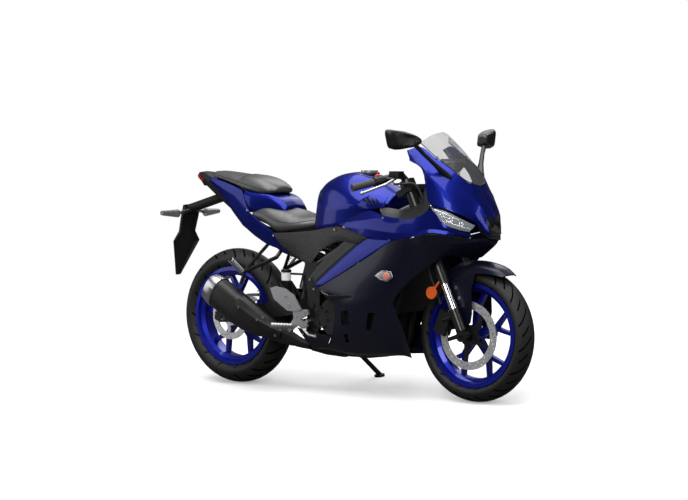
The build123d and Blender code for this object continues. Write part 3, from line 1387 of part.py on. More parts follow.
def carve(piece, tools):
    """The largest solid left of a piece once its neighbours' space is taken out."""
    for tool in tools:
        near = piece.bounding_box()
        other = tool.bounding_box()
        apart = (near.min.X > other.max.X or near.max.X < other.min.X or near.min.Y > other.max.Y
                 or near.max.Y < other.min.Y or near.min.Z > other.max.Z or near.max.Z < other.min.Z)
        if not apart:
            piece = piece - tool
    return max(piece.solids(), key=lambda solid: solid.volume)


def main():
    """Builds every node, parks the machine and writes one STEP file for each node."""
    os.makedirs("parts", exist_ok=True)
    nodes = build_nodes()
    lean = Rot(-LEAN, 0, 0)
    parked = {}
    for members in nodes.values():
        for name, solids in members.items():
            flat = []
            for piece in solids:
                flat += list(piece.solids())
            parked[name] = [lean * solid for solid in flat]
    boxes = [solid.bounding_box() for solids in parked.values() for solid in solids]
    middle_x = (min(b.min.X for b in boxes) + max(b.max.X for b in boxes)) / 2
    middle_y = (min(b.min.Y for b in boxes) + max(b.max.Y for b in boxes)) / 2
    floor = min(b.min.Z for b in boxes)
    shift = Pos(-middle_x, -middle_y, -floor)
    print("origin shift", -middle_x, -middle_y, -floor)
    for name, solids in parked.items():
        export_step(Compound([shift * solid for solid in solids]), f"parts/{name}.step")


main()
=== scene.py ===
"""Sport motorcycle of the 300 class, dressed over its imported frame.

Every new piece is modelled on the upright machine, in metres: X forward from the rear axle, Y to the left and
Z up from the ground. The finished piece is then parked, which leans it with the machine on to its side stand.
"""

import logging
import math
from dataclasses import dataclass, field
from enum import Enum
from typing import Sequence

import bmesh
import bpy
from mathutils import Matrix, Vector


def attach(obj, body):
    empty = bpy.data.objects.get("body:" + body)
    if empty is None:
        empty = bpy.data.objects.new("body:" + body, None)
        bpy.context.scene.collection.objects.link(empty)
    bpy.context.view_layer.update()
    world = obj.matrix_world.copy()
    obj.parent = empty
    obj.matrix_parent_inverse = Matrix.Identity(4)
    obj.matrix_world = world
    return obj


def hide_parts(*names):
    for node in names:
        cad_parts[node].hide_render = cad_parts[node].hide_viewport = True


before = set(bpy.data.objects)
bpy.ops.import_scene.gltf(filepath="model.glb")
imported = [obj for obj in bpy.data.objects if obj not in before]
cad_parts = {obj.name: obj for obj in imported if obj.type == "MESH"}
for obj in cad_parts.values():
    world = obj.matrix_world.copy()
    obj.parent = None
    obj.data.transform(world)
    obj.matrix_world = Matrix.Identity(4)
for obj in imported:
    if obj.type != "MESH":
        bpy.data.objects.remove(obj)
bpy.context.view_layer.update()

LOG = logging.getLogger("motorcycle")
MILLIMETRE = 0.001
LEAN = math.radians(10.5)
ORIGIN_SHIFT = Vector((-0.6365, -0.20516052, 0.00123597))
PARKED = Matrix.Translation(ORIGIN_SHIFT) @ Matrix.Rotation(-LEAN, 4, "X")

Point = tuple[float, float, float]
Colour = tuple[float, float, float, float]
WHITE: Colour = (1, 1, 1, 1)


class Body(Enum):
    """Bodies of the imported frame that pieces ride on."""

    CHASSIS = "chassis"
    STEERING = "steering"
    FRONT_WHEEL = "front_wheel"
    REAR_WHEEL = "rear_wheel"


class Side(Enum):
    """Side of the machine, as the sign of its Y."""

    RIGHT = -1
    LEFT = 1


def mm(x: float, y: float, z: float) -> Vector:
    """Point of the upright machine in metres, from millimetres."""
    return Vector((x, y, z)) * MILLIMETRE


# ---------------------------------------------------------------- shader nodes and shared effects
def feed(tree: bpy.types.NodeTree, node: bpy.types.Node, inputs: dict[str | int, object]) -> None:
    """Links sockets to a node's inputs, and sets the inputs that are given as plain values.

    Args:
        tree: tree that the node is in.
        node: the node that is fed.
        inputs: a socket or a value for each input, by its name or number.
    """
    for name, value in inputs.items():
        if isinstance(value, bpy.types.NodeSocket):
            tree.links.new(value, node.inputs[name])
        else:
            node.inputs[name].default_value = value


def add_node(tree: bpy.types.NodeTree, kind: str, inputs: dict[str | int, object] | None = None,
             **settings: object) -> bpy.types.Node:
    """Adds a shader node, sets it up and feeds it.

    Args:
        tree: tree that takes the node.
        kind: the node's type, without the ShaderNode in front.
        inputs: a socket or a value for each input, by its name or number.
        settings: the node's own properties.

    Returns:
        The new node.
    """
    node = tree.nodes.new(f"ShaderNode{kind}")
    for name, value in settings.items():
        setattr(node, name, value)
    feed(tree, node, inputs or {})
    return node


def maths(tree: bpy.types.NodeTree, operation: str, *values: object,
          clamp: bool = False) -> bpy.types.NodeSocket:
    """Adds a maths node on sockets or numbers and returns its output."""
    return add_node(tree, "Math", dict(enumerate(values)), operation=operation, use_clamp=clamp).outputs[0]


def blend(tree: bpy.types.NodeTree, share: object, first: object, second: object) -> bpy.types.NodeSocket:
    """Colour between a first one at share 0 and a second at share 1."""
    mix = add_node(tree, "Mix", {"Factor": share, "A": first, "B": second}, data_type="RGBA")
    return mix.outputs["Result"]


def position(tree: bpy.types.NodeTree) -> bpy.types.NodeSocket:
    """Object coordinates, in metres."""
    return add_node(tree, "TexCoord").outputs["Object"]


def bumped(tree: bpy.types.NodeTree, height: bpy.types.NodeSocket, strength: object,
           distance: float) -> bpy.types.NodeSocket:
    """Normal of a surface raised by a height, up to a distance in metres."""
    return add_node(tree, "Bump", {"Height": height, "Strength": strength, "Distance": distance}).outputs[0]


class Effects:
    """Shader node groups, each built once and placed in the finishes that need it."""

    COLOUR = "NodeSocketColor"
    NUMBER = "NodeSocketFloat"
    VECTOR = "NodeSocketVector"

    @staticmethod
    def _group(name: str, inputs: Sequence[tuple[str, str, object]], outputs: Sequence[tuple[str, str]]
               ) -> tuple[bpy.types.ShaderNodeTree, bpy.types.NodeOutputs, bpy.types.Node]:
        """Makes a group with its sockets.

        Args:
            name: the group's name.
            inputs: name, kind and start value of each input.
            outputs: name and kind of each output.

        Returns:
            The new node group, what comes in to it, and the node that leads out of it.
        """
        group = bpy.data.node_groups.new(name, "ShaderNodeTree")
        for label, kind, value in inputs:
            socket = group.interface.new_socket(label, in_out="INPUT", socket_type=kind)
            if value is not None:
                socket.default_value = value
        for label, kind in outputs:
            group.interface.new_socket(label, in_out="OUTPUT", socket_type=kind)
        return group, group.nodes.new("NodeGroupInput").outputs, group.nodes.new("NodeGroupOutput")

    @staticmethod
    def _noise(group: bpy.types.ShaderNodeTree, where: bpy.types.NodeSocket, scale: object,
               detail: float) -> bpy.types.NodeSocket:
        """Noise at a position, at a scale that is a socket or a number."""
        return add_node(group, "TexNoise", {"Vector": where, "Scale": scale, "Detail": detail}).outputs["Fac"]

    @staticmethod
    def _uneven(group: bpy.types.ShaderNodeTree, noise: bpy.types.NodeSocket,
                given: bpy.types.NodeOutputs) -> bpy.types.NodeSocket:
        """Roughness that a noise spreads to both sides of the given one."""
        return maths(group, "MULTIPLY_ADD", maths(group, "SUBTRACT", noise, 0.5), given["Spread"],
                     given["Roughness"], clamp=True)

    @classmethod
    def grain(cls) -> bpy.types.ShaderNodeTree:
        """Fine surface grain with slow drifts of colour: outputs a colour, a roughness and a normal."""
        name = "surface_grain"
        if name in bpy.data.node_groups:
            return bpy.data.node_groups[name]
        group, given, leave = cls._group(
            name,
            (("Colour", cls.COLOUR, (0.5, 0.5, 0.5, 1)), ("Drift", cls.NUMBER, 0.1),
             ("Roughness", cls.NUMBER, 0.5), ("Spread", cls.NUMBER, 0.1),
             ("Scale", cls.NUMBER, 400.0), ("Height", cls.NUMBER, 0.05)),
            (("Colour", cls.COLOUR), ("Roughness", cls.NUMBER), ("Normal", cls.VECTOR)))
        where = position(group)
        fine = cls._noise(group, where, given["Scale"], 3.0)
        slow = cls._noise(group, where, 9.0, 4.0)
        drift = maths(group, "MULTIPLY_ADD", maths(group, "SUBTRACT", slow, 0.5), given["Drift"], 1.0)
        tint = add_node(group, "VectorMath", {0: given["Colour"], "Scale": drift}, operation="SCALE")
        feed(group, leave, {"Colour": tint.outputs[0], "Roughness": cls._uneven(group, fine, given),
                            "Normal": bumped(group, fine, given["Height"], 0.001)})
        return group

    @classmethod
    def flake(cls) -> bpy.types.ShaderNodeTree:
        """Metal flake under lacquer: outputs a colour that sparkles and a roughness."""
        name = "metal_flake"
        if name in bpy.data.node_groups:
            return bpy.data.node_groups[name]
        group, given, leave = cls._group(
            name,
            (("Colour", cls.COLOUR, (0.0, 0.0, 0.5, 1)), ("Flake", cls.COLOUR, (0.1, 0.1, 0.9, 1)),
             ("Scale", cls.NUMBER, 1500.0), ("Amount", cls.NUMBER, 0.3)),
            (("Colour", cls.COLOUR), ("Roughness", cls.NUMBER)))
        cells = add_node(group, "TexVoronoi", {"Vector": position(group), "Scale": given["Scale"]})
        away = cells.outputs["Distance"]
        share = maths(group, "MULTIPLY", away, given["Amount"])
        rough = add_node(group, "MapRange", {"Value": away, "To Min": 0.3, "To Max": 0.42})
        feed(group, leave, {"Colour": blend(group, share, given["Colour"], given["Flake"]),
                            "Roughness": rough.outputs["Result"]})
        return group

    @classmethod
    def weave(cls) -> bpy.types.ShaderNodeTree:
        """Diagonal two-way weave in the side view: outputs a mask of the threads and a normal."""
        name = "diagonal_weave"
        if name in bpy.data.node_groups:
            return bpy.data.node_groups[name]
        group, given, leave = cls._group(
            name, (("Scale", cls.NUMBER, 60.0), ("Height", cls.NUMBER, 0.6)),
            (("Mask", cls.NUMBER), ("Normal", cls.VECTOR)))
        where = position(group)
        waves = []
        for turn in (math.radians(45), math.radians(-45)):
            laid = add_node(group, "Mapping", {"Vector": where, "Rotation": (0.0, turn, 0.0)}).outputs[0]
            wave = add_node(group, "TexWave", {"Vector": laid, "Scale": given["Scale"]}, bands_direction="X")
            waves.append(wave.outputs["Fac"])
        cross = maths(group, "MULTIPLY", *waves)
        feed(group, leave, {"Mask": cross, "Normal": bumped(group, cross, given["Height"], 0.002)})
        return group

    @classmethod
    def brushed(cls) -> bpy.types.ShaderNodeTree:
        """Fine brushing along X: outputs a roughness and a normal."""
        name = "brushed_marks"
        if name in bpy.data.node_groups:
            return bpy.data.node_groups[name]
        group, given, leave = cls._group(
            name,
            (("Roughness", cls.NUMBER, 0.3), ("Spread", cls.NUMBER, 0.25),
             ("Stretch", cls.VECTOR, (20.0, 900.0, 900.0)), ("Height", cls.NUMBER, 0.1)),
            (("Roughness", cls.NUMBER), ("Normal", cls.VECTOR)))
        scaled = add_node(group, "VectorMath", {0: position(group), 1: given["Stretch"]},
                          operation="MULTIPLY")
        marks = cls._noise(group, scaled.outputs[0], 1.0, 4.0)
        feed(group, leave, {"Roughness": cls._uneven(group, marks, given),
                            "Normal": bumped(group, marks, given["Height"], 0.0004)})
        return group

    @classmethod
    def grooves(cls) -> bpy.types.ShaderNodeTree:
        """Slanted grooves on both halves of a tyre's tread, about an axle: outputs a mask."""
        name = "tread_grooves"
        if name in bpy.data.node_groups:
            return bpy.data.node_groups[name]
        group, given, leave = cls._group(
            name,
            (("Axle", cls.VECTOR, None), ("Half Width", cls.NUMBER, 0.07),
             ("Count", cls.NUMBER, 30.0), ("Slant", cls.NUMBER, 5.0)),
            (("Mask", cls.NUMBER),))

        def sums(operation: str, *values: object) -> bpy.types.NodeSocket:
            """Maths node of this group."""
            return maths(group, operation, *values)

        centred = add_node(group, "VectorMath", {0: position(group), 1: given["Axle"]}, operation="SUBTRACT")
        upright = add_node(group, "VectorRotate", {"Vector": centred.outputs[0], "Angle": LEAN},
                           rotation_type="X_AXIS")
        x, y, z = add_node(group, "SeparateXYZ", {0: upright.outputs[0]}).outputs
        turn = sums("DIVIDE", sums("ARCTAN2", z, x), 2 * math.pi)
        across = sums("DIVIDE", y, given["Half Width"])
        spread = sums("ABSOLUTE", across)
        stagger = sums("MULTIPLY", sums("SIGN", across), 0.25)
        slanted = sums("MULTIPLY", spread, sums("MULTIPLY", given["Slant"], 0.3))
        cell = sums("ADD", sums("MULTIPLY_ADD", turn, given["Count"], slanted), stagger)
        odd = sums("FRACT", sums("MULTIPLY", sums("FLOOR", cell), 0.5))
        near = sums("MULTIPLY_ADD", odd, 0.36, 0.12)
        far = sums("MAXIMUM", sums("MULTIPLY_ADD", odd, -0.5, 0.93), 0.8)
        # mask of the grooves, which are sunk by a bump and painted darker as shade
        painted_groove_shade = sums("LESS_THAN", sums("FRACT", cell), 0.17)
        inside = sums("MULTIPLY", sums("GREATER_THAN", spread, near), sums("LESS_THAN", spread, far))
        feed(group, leave, {"Mask": sums("MULTIPLY", painted_groove_shade, inside)})
        return group


# ---------------------------------------------------------------- finishes
@dataclass(frozen=True)
class Finish:
    """A painted, moulded or cast surface with grain, drift of colour and uneven gloss."""

    name: str
    colour: Colour
    roughness: float = 0.5
    metallic: float = 0.0
    drift: float = 0.15
    spread: float = 0.15
    scale: float = 500.0
    height: float = 0.12
    coat: float = 0.0
    specular: float = 0.5
    coat_roughness: float = 0.04

    def material(self) -> bpy.types.Material:
        """The finish's material, made on its first use."""
        if self.name in bpy.data.materials:
            return bpy.data.materials[self.name]
        material = bpy.data.materials.new(self.name)
        material.use_nodes = True
        tree = material.node_tree
        shader = tree.nodes["Principled BSDF"]
        feed(tree, shader, {"Metallic": self.metallic, "Coat Weight": self.coat,
                            "Coat Roughness": self.coat_roughness, "Specular IOR Level": self.specular})
        grain = add_node(tree, "Group", {
            "Colour": self.colour, "Drift": self.drift, "Roughness": self.roughness, "Spread": self.spread,
            "Scale": self.scale, "Height": self.height}, node_tree=Effects.grain())
        feed(tree, shader, self._surface(tree, grain.outputs))
        return material

    def _surface(self, tree: bpy.types.NodeTree, grain: bpy.types.NodeOutputs) -> dict[str, object]:
        """What the shader takes in.

        Args:
            tree: node tree of the material.
            grain: outputs of the shared grain.

        Returns:
            A socket or a value for each input of the shader that this finish drives.
        """
        return {"Base Color": grain["Colour"], "Roughness": grain["Roughness"], "Normal": grain["Normal"]}


@dataclass(frozen=True)
class FlakePaint(Finish):
    """Metallic paint under clear lacquer."""

    flake: Colour = (0.05, 0.08, 0.9, 1)
    amount: float = 0.35

    def _surface(self, tree: bpy.types.NodeTree, grain: bpy.types.NodeOutputs) -> dict[str, object]:
        """Colour and roughness from the flake, over the grain's colour."""
        flake = add_node(tree, "Group", {
            "Colour": grain["Colour"], "Flake": self.flake, "Amount": self.amount},
            node_tree=Effects.flake()).outputs
        return {"Base Color": flake["Colour"], "Roughness": flake["Roughness"]}


@dataclass(frozen=True)
class WovenPlastic(Finish):
    """Moulded plastic with a raised diagonal weave."""

    thread: Colour = (0.09, 0.09, 0.095, 1)
    pitch: float = 75.0

    def _surface(self, tree: bpy.types.NodeTree, grain: bpy.types.NodeOutputs) -> dict[str, object]:
        """Threads over the grain's colour, with the weave's own normal."""
        weave = add_node(tree, "Group", {"Scale": self.pitch}, node_tree=Effects.weave()).outputs
        return {"Base Color": blend(tree, weave["Mask"], grain["Colour"], self.thread),
                "Roughness": grain["Roughness"], "Normal": weave["Normal"]}


@dataclass(frozen=True)
class BrushedMetal(Finish):
    """Bare or plated metal with fine machining marks."""

    stretch: Point = (20.0, 900.0, 900.0)

    def _surface(self, tree: bpy.types.NodeTree, grain: bpy.types.NodeOutputs) -> dict[str, object]:
        """Roughness and normal from the machining marks."""
        marks = add_node(tree, "Group", {
            "Roughness": self.roughness, "Spread": self.spread, "Stretch": self.stretch,
            "Height": self.height}, node_tree=Effects.brushed()).outputs
        return {"Base Color": grain["Colour"], "Roughness": marks["Roughness"], "Normal": marks["Normal"]}


@dataclass(frozen=True)
class ClearPlastic(Finish):
    """Clear or tinted lens or screen with an uneven gloss."""

    alpha: float = 0.25

    def _surface(self, tree: bpy.types.NodeTree, grain: bpy.types.NodeOutputs) -> dict[str, object]:
        """The grain's colour and roughness, seen through."""
        return {"Alpha": self.alpha, "Base Color": grain["Colour"], "Roughness": grain["Roughness"]}


@dataclass(frozen=True)
class TreadRubber(Finish):
    """Tyre rubber with slanted grooves across its tread, drawn about its axle; the grooves are painted darker
    as shade.
    """

    axle: Vector = field(default_factory=Vector)
    half_width: float = 0.07
    count: float = 30.0
    slant: float = 5.0
    # painted shade: colour laid in the grooves, darker than the rubber, for the shade in their recesses
    painted_groove_shade: Colour = (0.001, 0.001, 0.001, 1)

    def _surface(self, tree: bpy.types.NodeTree, grain: bpy.types.NodeOutputs) -> dict[str, object]:
        """Grooves that are sunk by a bump, painted darker as shade in the recess, and without gloss."""
        grooves = add_node(tree, "Group", {
            "Axle": PARKED @ self.axle, "Half Width": self.half_width, "Count": self.count,
            "Slant": self.slant}, node_tree=Effects.grooves())
        mask = grooves.outputs["Mask"]
        sunk = add_node(tree, "Bump", {"Height": mask, "Normal": grain["Normal"], "Distance": 0.004,
                                       "Strength": 1.0}, invert=True)
        gloss = maths(tree, "MULTIPLY_ADD", mask, -self.specular, self.specular)
        return {"Specular IOR Level": gloss, "Base Color": blend(tree, mask, grain["Colour"], self.painted_groove_shade),
                "Roughness": grain["Roughness"], "Normal": sunk.outputs[0]}


class Finishes:
    """Every finish on the machine, by what it covers."""

    BLUE = FlakePaint("blue_flake_paint", (0.0014, 0.004, 0.085, 1), 0.25, 0.8, drift=0.1, coat=0.2,
                      specular=0.1, flake=(0.01, 0.024, 0.36, 1), amount=0.3)
    WHEEL_BLUE = FlakePaint("blue_wheel_paint", (0.002, 0.006, 0.19, 1), 0.3, 0.6, drift=0.1, coat=0.35,
                            specular=0.25, flake=(0.012, 0.028, 0.5, 1), amount=0.3)
    NAVY = FlakePaint("navy_satin_paint", (0.0015, 0.0018, 0.007, 1), 0.42, 0.3, drift=0.1, coat=0.08,
                      specular=0.25, flake=(0.008, 0.01, 0.03, 1), amount=0.4)
    BLACK_GLOSS = Finish("black_gloss_plastic", (0.004, 0.004, 0.0045, 1), 0.16, height=0.02, coat=0.3,
                         specular=0.3)
    BLACK_SATIN = Finish("black_satin_plastic", (0.005, 0.005, 0.0055, 1), 0.4, height=0.15, specular=0.25)
    BLACK_MATT = Finish("black_matt_plastic", (0.006, 0.006, 0.0065, 1), 0.6, height=0.3, scale=900.0,
                        specular=0.22)
    EXHAUST = Finish("black_exhaust_enamel", (0.006, 0.006, 0.006, 1), 0.45, 0.2, height=0.1, specular=0.3)
    WEAVE = WovenPlastic("black_woven_plastic", (0.003, 0.003, 0.0035, 1), 0.4, specular=0.3,
                         thread=(0.03, 0.03, 0.032, 1), pitch=27.0)
    FRAME = Finish("black_frame_enamel", (0.005, 0.005, 0.0055, 1), 0.34, height=0.06, coat=0.12,
                   specular=0.3)
    ENGINE = Finish("black_engine_casting", (0.008, 0.008, 0.0085, 1), 0.5, 0.25, height=0.5, scale=700.0,
                    specular=0.3)
    RUBBER = Finish("black_rubber", (0.006, 0.006, 0.006, 1), 0.72, height=0.35, scale=700.0, drift=0.3,
                    specular=0.25)
    TYRE = Finish("tyre_rubber", (0.007, 0.007, 0.007, 1), 0.66, height=0.3, scale=800.0, drift=0.35,
                  specular=0.3)
    SEAM = Finish("seat_seam_cord", (0.008, 0.008, 0.008, 1), 0.7, height=0.5, scale=1600.0)
    SEAT = Finish("seat_vinyl", (0.002, 0.002, 0.0022, 1), 0.8, height=0.3, scale=1300.0, drift=0.2,
                  specular=0.0)
    STEEL = BrushedMetal("brushed_steel", (0.32, 0.32, 0.33, 1), 0.3, 1.0, spread=0.2, height=0.15)
    DISC = BrushedMetal("disc_steel", (0.42, 0.42, 0.42, 1), 0.32, 1.0, spread=0.3, height=0.3,
                        stretch=(500.0, 40.0, 500.0))
    ALLOY = BrushedMetal("satin_alloy", (0.34, 0.34, 0.35, 1), 0.36, 0.9, spread=0.15, height=0.08)
    CHROME = BrushedMetal("chrome_plate", (0.82, 0.82, 0.83, 1), 0.12, 1.0, spread=0.02, height=0.0)
    SPRING = Finish("spring_enamel", (0.03, 0.03, 0.032, 1), 0.3, 0.2, coat=0.3)
    CHAIN = BrushedMetal("chain_steel", (0.16, 0.15, 0.14, 1), 0.42, 0.9)
    LENS = ClearPlastic("clear_lens", (0.7, 0.75, 0.8, 1), 0.04, alpha=0.12)
    SCREEN = ClearPlastic("grey_screen", (0.08, 0.082, 0.086, 1), 0.05, alpha=0.27, specular=0.12)
    SMOKED = ClearPlastic("smoked_lens", (0.02, 0.02, 0.02, 1), 0.08, alpha=0.75)
    AMBER = ClearPlastic("amber_reflector", (0.5, 0.07, 0.004, 1), 0.3, alpha=1.0)
    RED = ClearPlastic("red_lens", (0.25, 0.003, 0.004, 1), 0.2, alpha=0.95)
    RED_SWITCH = Finish("red_switch", (0.6, 0.02, 0.02, 1), 0.4)
    RESERVOIR = ClearPlastic("fluid_reservoir", (0.75, 0.76, 0.72, 1), 0.3, alpha=0.8)
    MIRROR = BrushedMetal("mirror_glass", (0.85, 0.86, 0.88, 1), 0.03, 1.0, spread=0.01, height=0.0)


# ---------------------------------------------------------------- modelling kit
def clear_selection() -> None:
    """Leaves edit mode and deselects everything."""
    if bpy.context.mode != "OBJECT":
        bpy.ops.object.mode_set(mode="OBJECT")
    bpy.ops.object.select_all(action="DESELECT")


def pick(*objects: bpy.types.Object) -> None:
    """Selects only these objects; the first is active."""
    clear_selection()
    for thing in objects:
        thing.select_set(True)
    bpy.context.view_layer.objects.active = objects[0]


def merge(name: str, pieces: Sequence[bpy.types.Object]) -> bpy.types.Object:
    """Joins meshes into one object.

    Args:
        name: the name of the joined object.
        pieces: mesh objects; the first keeps its place.

    Returns:
        The joined object.
    """
    pick(*pieces)
    if len(pieces) > 1:
        bpy.ops.object.join()
    joined = bpy.context.view_layer.objects.active
    joined.name = name
    joined.data.name = name
    return joined


def apply_modifiers(piece: bpy.types.Object) -> None:
    """Applies every modifier of a piece, first to last."""
    pick(piece)
    for modifier in list(piece.modifiers):
        bpy.ops.object.modifier_apply(modifier=modifier.name)


def soften(piece: bpy.types.Object, width: float, segments: int = 2, angle: float = 35.0) -> None:
    """Bevels the sharp edges of a piece.

    Args:
        piece: mesh object.
        width: bevel width in metres.
        segments: cuts across the bevel.
        angle: edges sharper than this many degrees are bevelled.
    """
    bevel = piece.modifiers.new("edge", "BEVEL")
    bevel.width = width
    bevel.segments = segments
    bevel.limit_method = "ANGLE"
    bevel.angle_limit = math.radians(angle)
    bevel.use_clamp_overlap = True
    apply_modifiers(piece)


def shade(piece: bpy.types.Object, angle: float = 32.0) -> None:
    """Shades a piece smooth, but for edges sharper than an angle in degrees."""
    pick(piece)
    bpy.ops.object.shade_smooth_by_angle(angle=math.radians(angle))


def place_selected(piece: bpy.types.Object, points: Sequence[Vector]) -> None:
    """Moves the selected vertices of a piece in edit mode to points, in the order of their index."""
    mesh = bmesh.from_edit_mesh(piece.data)
    mesh.verts.ensure_lookup_table()
    chosen = [v for v in mesh.verts if v.select]
    for vertex, point in zip(sorted(chosen, key=lambda v: v.index), points):
        vertex.co = point
    bmesh.update_edit_mesh(piece.data)


def loft(name: str, rings: Sequence[Sequence[Vector]]) -> bpy.types.Object:
    """Closed form drawn out of a filled circle, one extrusion for each ring.

    Args:
        name: name of the piece.
        rings: closed rings of points, all with the same count.

    Returns:
        The new mesh object.
    """
    clear_selection()
    bpy.ops.mesh.primitive_circle_add(vertices=len(rings[0]), radius=0.1, fill_type="NGON")
    piece = bpy.context.object
    piece.name = name
    bpy.ops.object.mode_set(mode="EDIT")
    bpy.ops.mesh.select_all(action="SELECT")
    place_selected(piece, rings[0])
    for ring in rings[1:]:
        bpy.ops.mesh.extrude_region_move()
        place_selected(piece, ring)
    bpy.ops.mesh.select_all(action="SELECT")
    bpy.ops.mesh.normals_make_consistent(inside=False)
    bpy.ops.object.mode_set(mode="OBJECT")
    return piece


def panel(name: str, rows: Sequence[Sequence[Vector]], outward: Vector, thickness: float,
          edge: float) -> bpy.types.Object:
    """Moulded panel: a grid drawn to rows of points, then given a wall and a rounded rim.

    Args:
        name: name of the piece.
        rows: rows of points with the same count.
        outward: direction that the panel's outer face looks.
        thickness: wall in metres, laid towards the inside.
        edge: width of the rounded rim in metres.

    Returns:
        The new mesh object.
    """
    count_v = len(rows[0])
    count_u = len(rows)
    clear_selection()
    bpy.ops.mesh.primitive_grid_add(x_subdivisions=count_v - 1, y_subdivisions=count_u - 1, size=2)
    piece = bpy.context.object
    piece.name = name
    bpy.ops.object.mode_set(mode="EDIT")
    mesh = bmesh.from_edit_mesh(piece.data)
    for vertex in mesh.verts:
        v = round((vertex.co.x + 1) / 2 * (count_v - 1))
        u = round((vertex.co.y + 1) / 2 * (count_u - 1))
        vertex.co = rows[u][v]
    mesh.normal_update()
    facing = sum((face.normal * face.calc_area() for face in mesh.faces), Vector()).dot(outward)
    bmesh.update_edit_mesh(piece.data)
    if facing < 0:
        bpy.ops.mesh.select_all(action="SELECT")
        bpy.ops.mesh.flip_normals()
    bpy.ops.object.mode_set(mode="OBJECT")
    wall = piece.modifiers.new("wall", "SOLIDIFY")
    wall.thickness = thickness
    wall.offset = -1.0
    apply_modifiers(piece)
    soften(piece, edge, 2, 60.0)
    return piece


def rod(name: str, start: Vector, end: Vector, radius: float, end_radius: float | None = None,
        vertices: int = 32) -> bpy.types.Object:
    """Round bar or cone between two points.

    Args:
        name: name of the piece.
        start: centre of its first end.
        end: centre of its other end.
        radius: radius at the start.
        end_radius: radius at the end, if it differs.
        vertices: corners round it.

    Returns:
        The new mesh object.
    """
    run = end - start
    clear_selection()
    bpy.ops.mesh.primitive_cone_add(vertices=vertices, radius1=radius,
                                    radius2=radius if end_radius is None else end_radius, depth=run.length)
    piece = bpy.context.object
    piece.name = name
    piece.rotation_mode = "QUATERNION"
    piece.rotation_quaternion = run.to_track_quat("Z", "Y")
    piece.location = (start + end) / 2
    pick(piece)
    bpy.ops.object.transform_apply(location=True, rotation=True, scale=True)
    return piece


def turned(name: str, start: Vector, axis: Vector, profile: Sequence[tuple[float, float]],
           vertices: int = 48) -> bpy.types.Object:
    """Turned piece: rings of a profile along an axis, from solid end to solid end.

    Args:
        name: name of the piece.
        start: origin on the axis.
        axis: direction of the axis.
        profile: (distance along the axis, radius) of each ring, in metres.
        vertices: corners round it.

    Returns:
        The new mesh object.
    """
    turn = axis.normalized().to_track_quat("Z", "Y").to_matrix()
    rings = []
    for distance, radius in profile:
        ring = []
        for number in range(vertices):
            angle = 2 * math.pi * number / vertices
            ring.append(start + turn @ Vector((radius * math.cos(angle), radius * math.sin(angle), distance)))
        rings.append(ring)
    return loft(name, rings)


def tube(name: str, points: Sequence[Vector], radius: float, resolution: int = 5) -> bpy.types.Object:
    """Round tube along a smooth line through a few points.

    Args:
        name: name of the piece.
        points: control points of the line.
        radius: radius of the tube in metres.
        resolution: detail round the tube.

    Returns:
        The new mesh object.
    """
    clear_selection()
    line = bpy.data.curves.new(name, "CURVE")
    line.dimensions = "3D"
    spline = line.splines.new("NURBS")
    spline.points.add(len(points) - 1)
    for place, point in zip(spline.points, points):
        place.co = (*point, 1.0)
    spline.order_u = 3
    spline.use_endpoint_u = True
    spline.resolution_u = 8
    line.bevel_depth = radius
    line.bevel_resolution = resolution
    line.use_fill_caps = True
    piece = bpy.data.objects.new(name, line)
    bpy.context.scene.collection.objects.link(piece)
    pick(piece)
    bpy.ops.object.convert(target="MESH")
    return bpy.context.view_layer.objects.active


def bolt(name: str, seat: Vector, axis: Vector, radius: float, height: float) -> bpy.types.Object:
    """Button-head screw with a sunk socket of eighteen sides, drawn from a cylinder by insets and an
    extrusion.

    Args:
        name: name of the piece.
        seat: centre of the face it sits on.
        axis: direction its head looks.
        radius: radius of its head.
        height: height of its head.

    Returns:
        The new mesh object.
    """
    clear_selection()
    bpy.ops.mesh.primitive_cylinder_add(vertices=18, radius=radius, depth=height,
                                        location=(0, 0, height / 2))
    piece = bpy.context.object
    piece.name = name
    bpy.ops.object.mode_set(mode="EDIT")
    mesh = bmesh.from_edit_mesh(piece.data)
    bpy.ops.mesh.select_all(action="DESELECT")
    for face in mesh.faces:
        face.select_set(face.normal.z > 0.9)
    bmesh.update_edit_mesh(piece.data)
    bpy.ops.mesh.inset(thickness=radius * 0.24)
    bpy.ops.mesh.inset(thickness=radius * 0.22)
    bpy.ops.mesh.extrude_region_move(TRANSFORM_OT_translate={"value": (0, 0, -height * 0.55)})
    bpy.ops.object.mode_set(mode="OBJECT")
    piece.rotation_mode = "QUATERNION"
    piece.rotation_quaternion = axis.to_track_quat("Z", "Y")
    piece.location = seat
    pick(piece)
    bpy.ops.object.transform_apply(location=True, rotation=True, scale=True)
    soften(piece, radius * 0.12, 2, 50.0)
    return piece


def slab(name: str, outline: Sequence[tuple[float, float]], inner: float, outer: float,
         edge: float = 0.0015) -> bpy.types.Object:
    """Flat plate in the machine's side plane, drawn from a filled outline by one extrusion.

    Args:
        name: name of the piece.
        outline: (x, z) corners in millimetres.
        inner: Y of its first face in millimetres.
        outer: Y of its other face in millimetres.
        edge: width of its rounded edges in metres.

    Returns:
        The new mesh object.
    """
    near = [mm(x, inner, z) for x, z in outline]
    far = [mm(x, outer, z) for x, z in outline]
    piece = loft(name, (near, far))
    if edge:
        soften(piece, edge, 3, 40.0)
    return piece


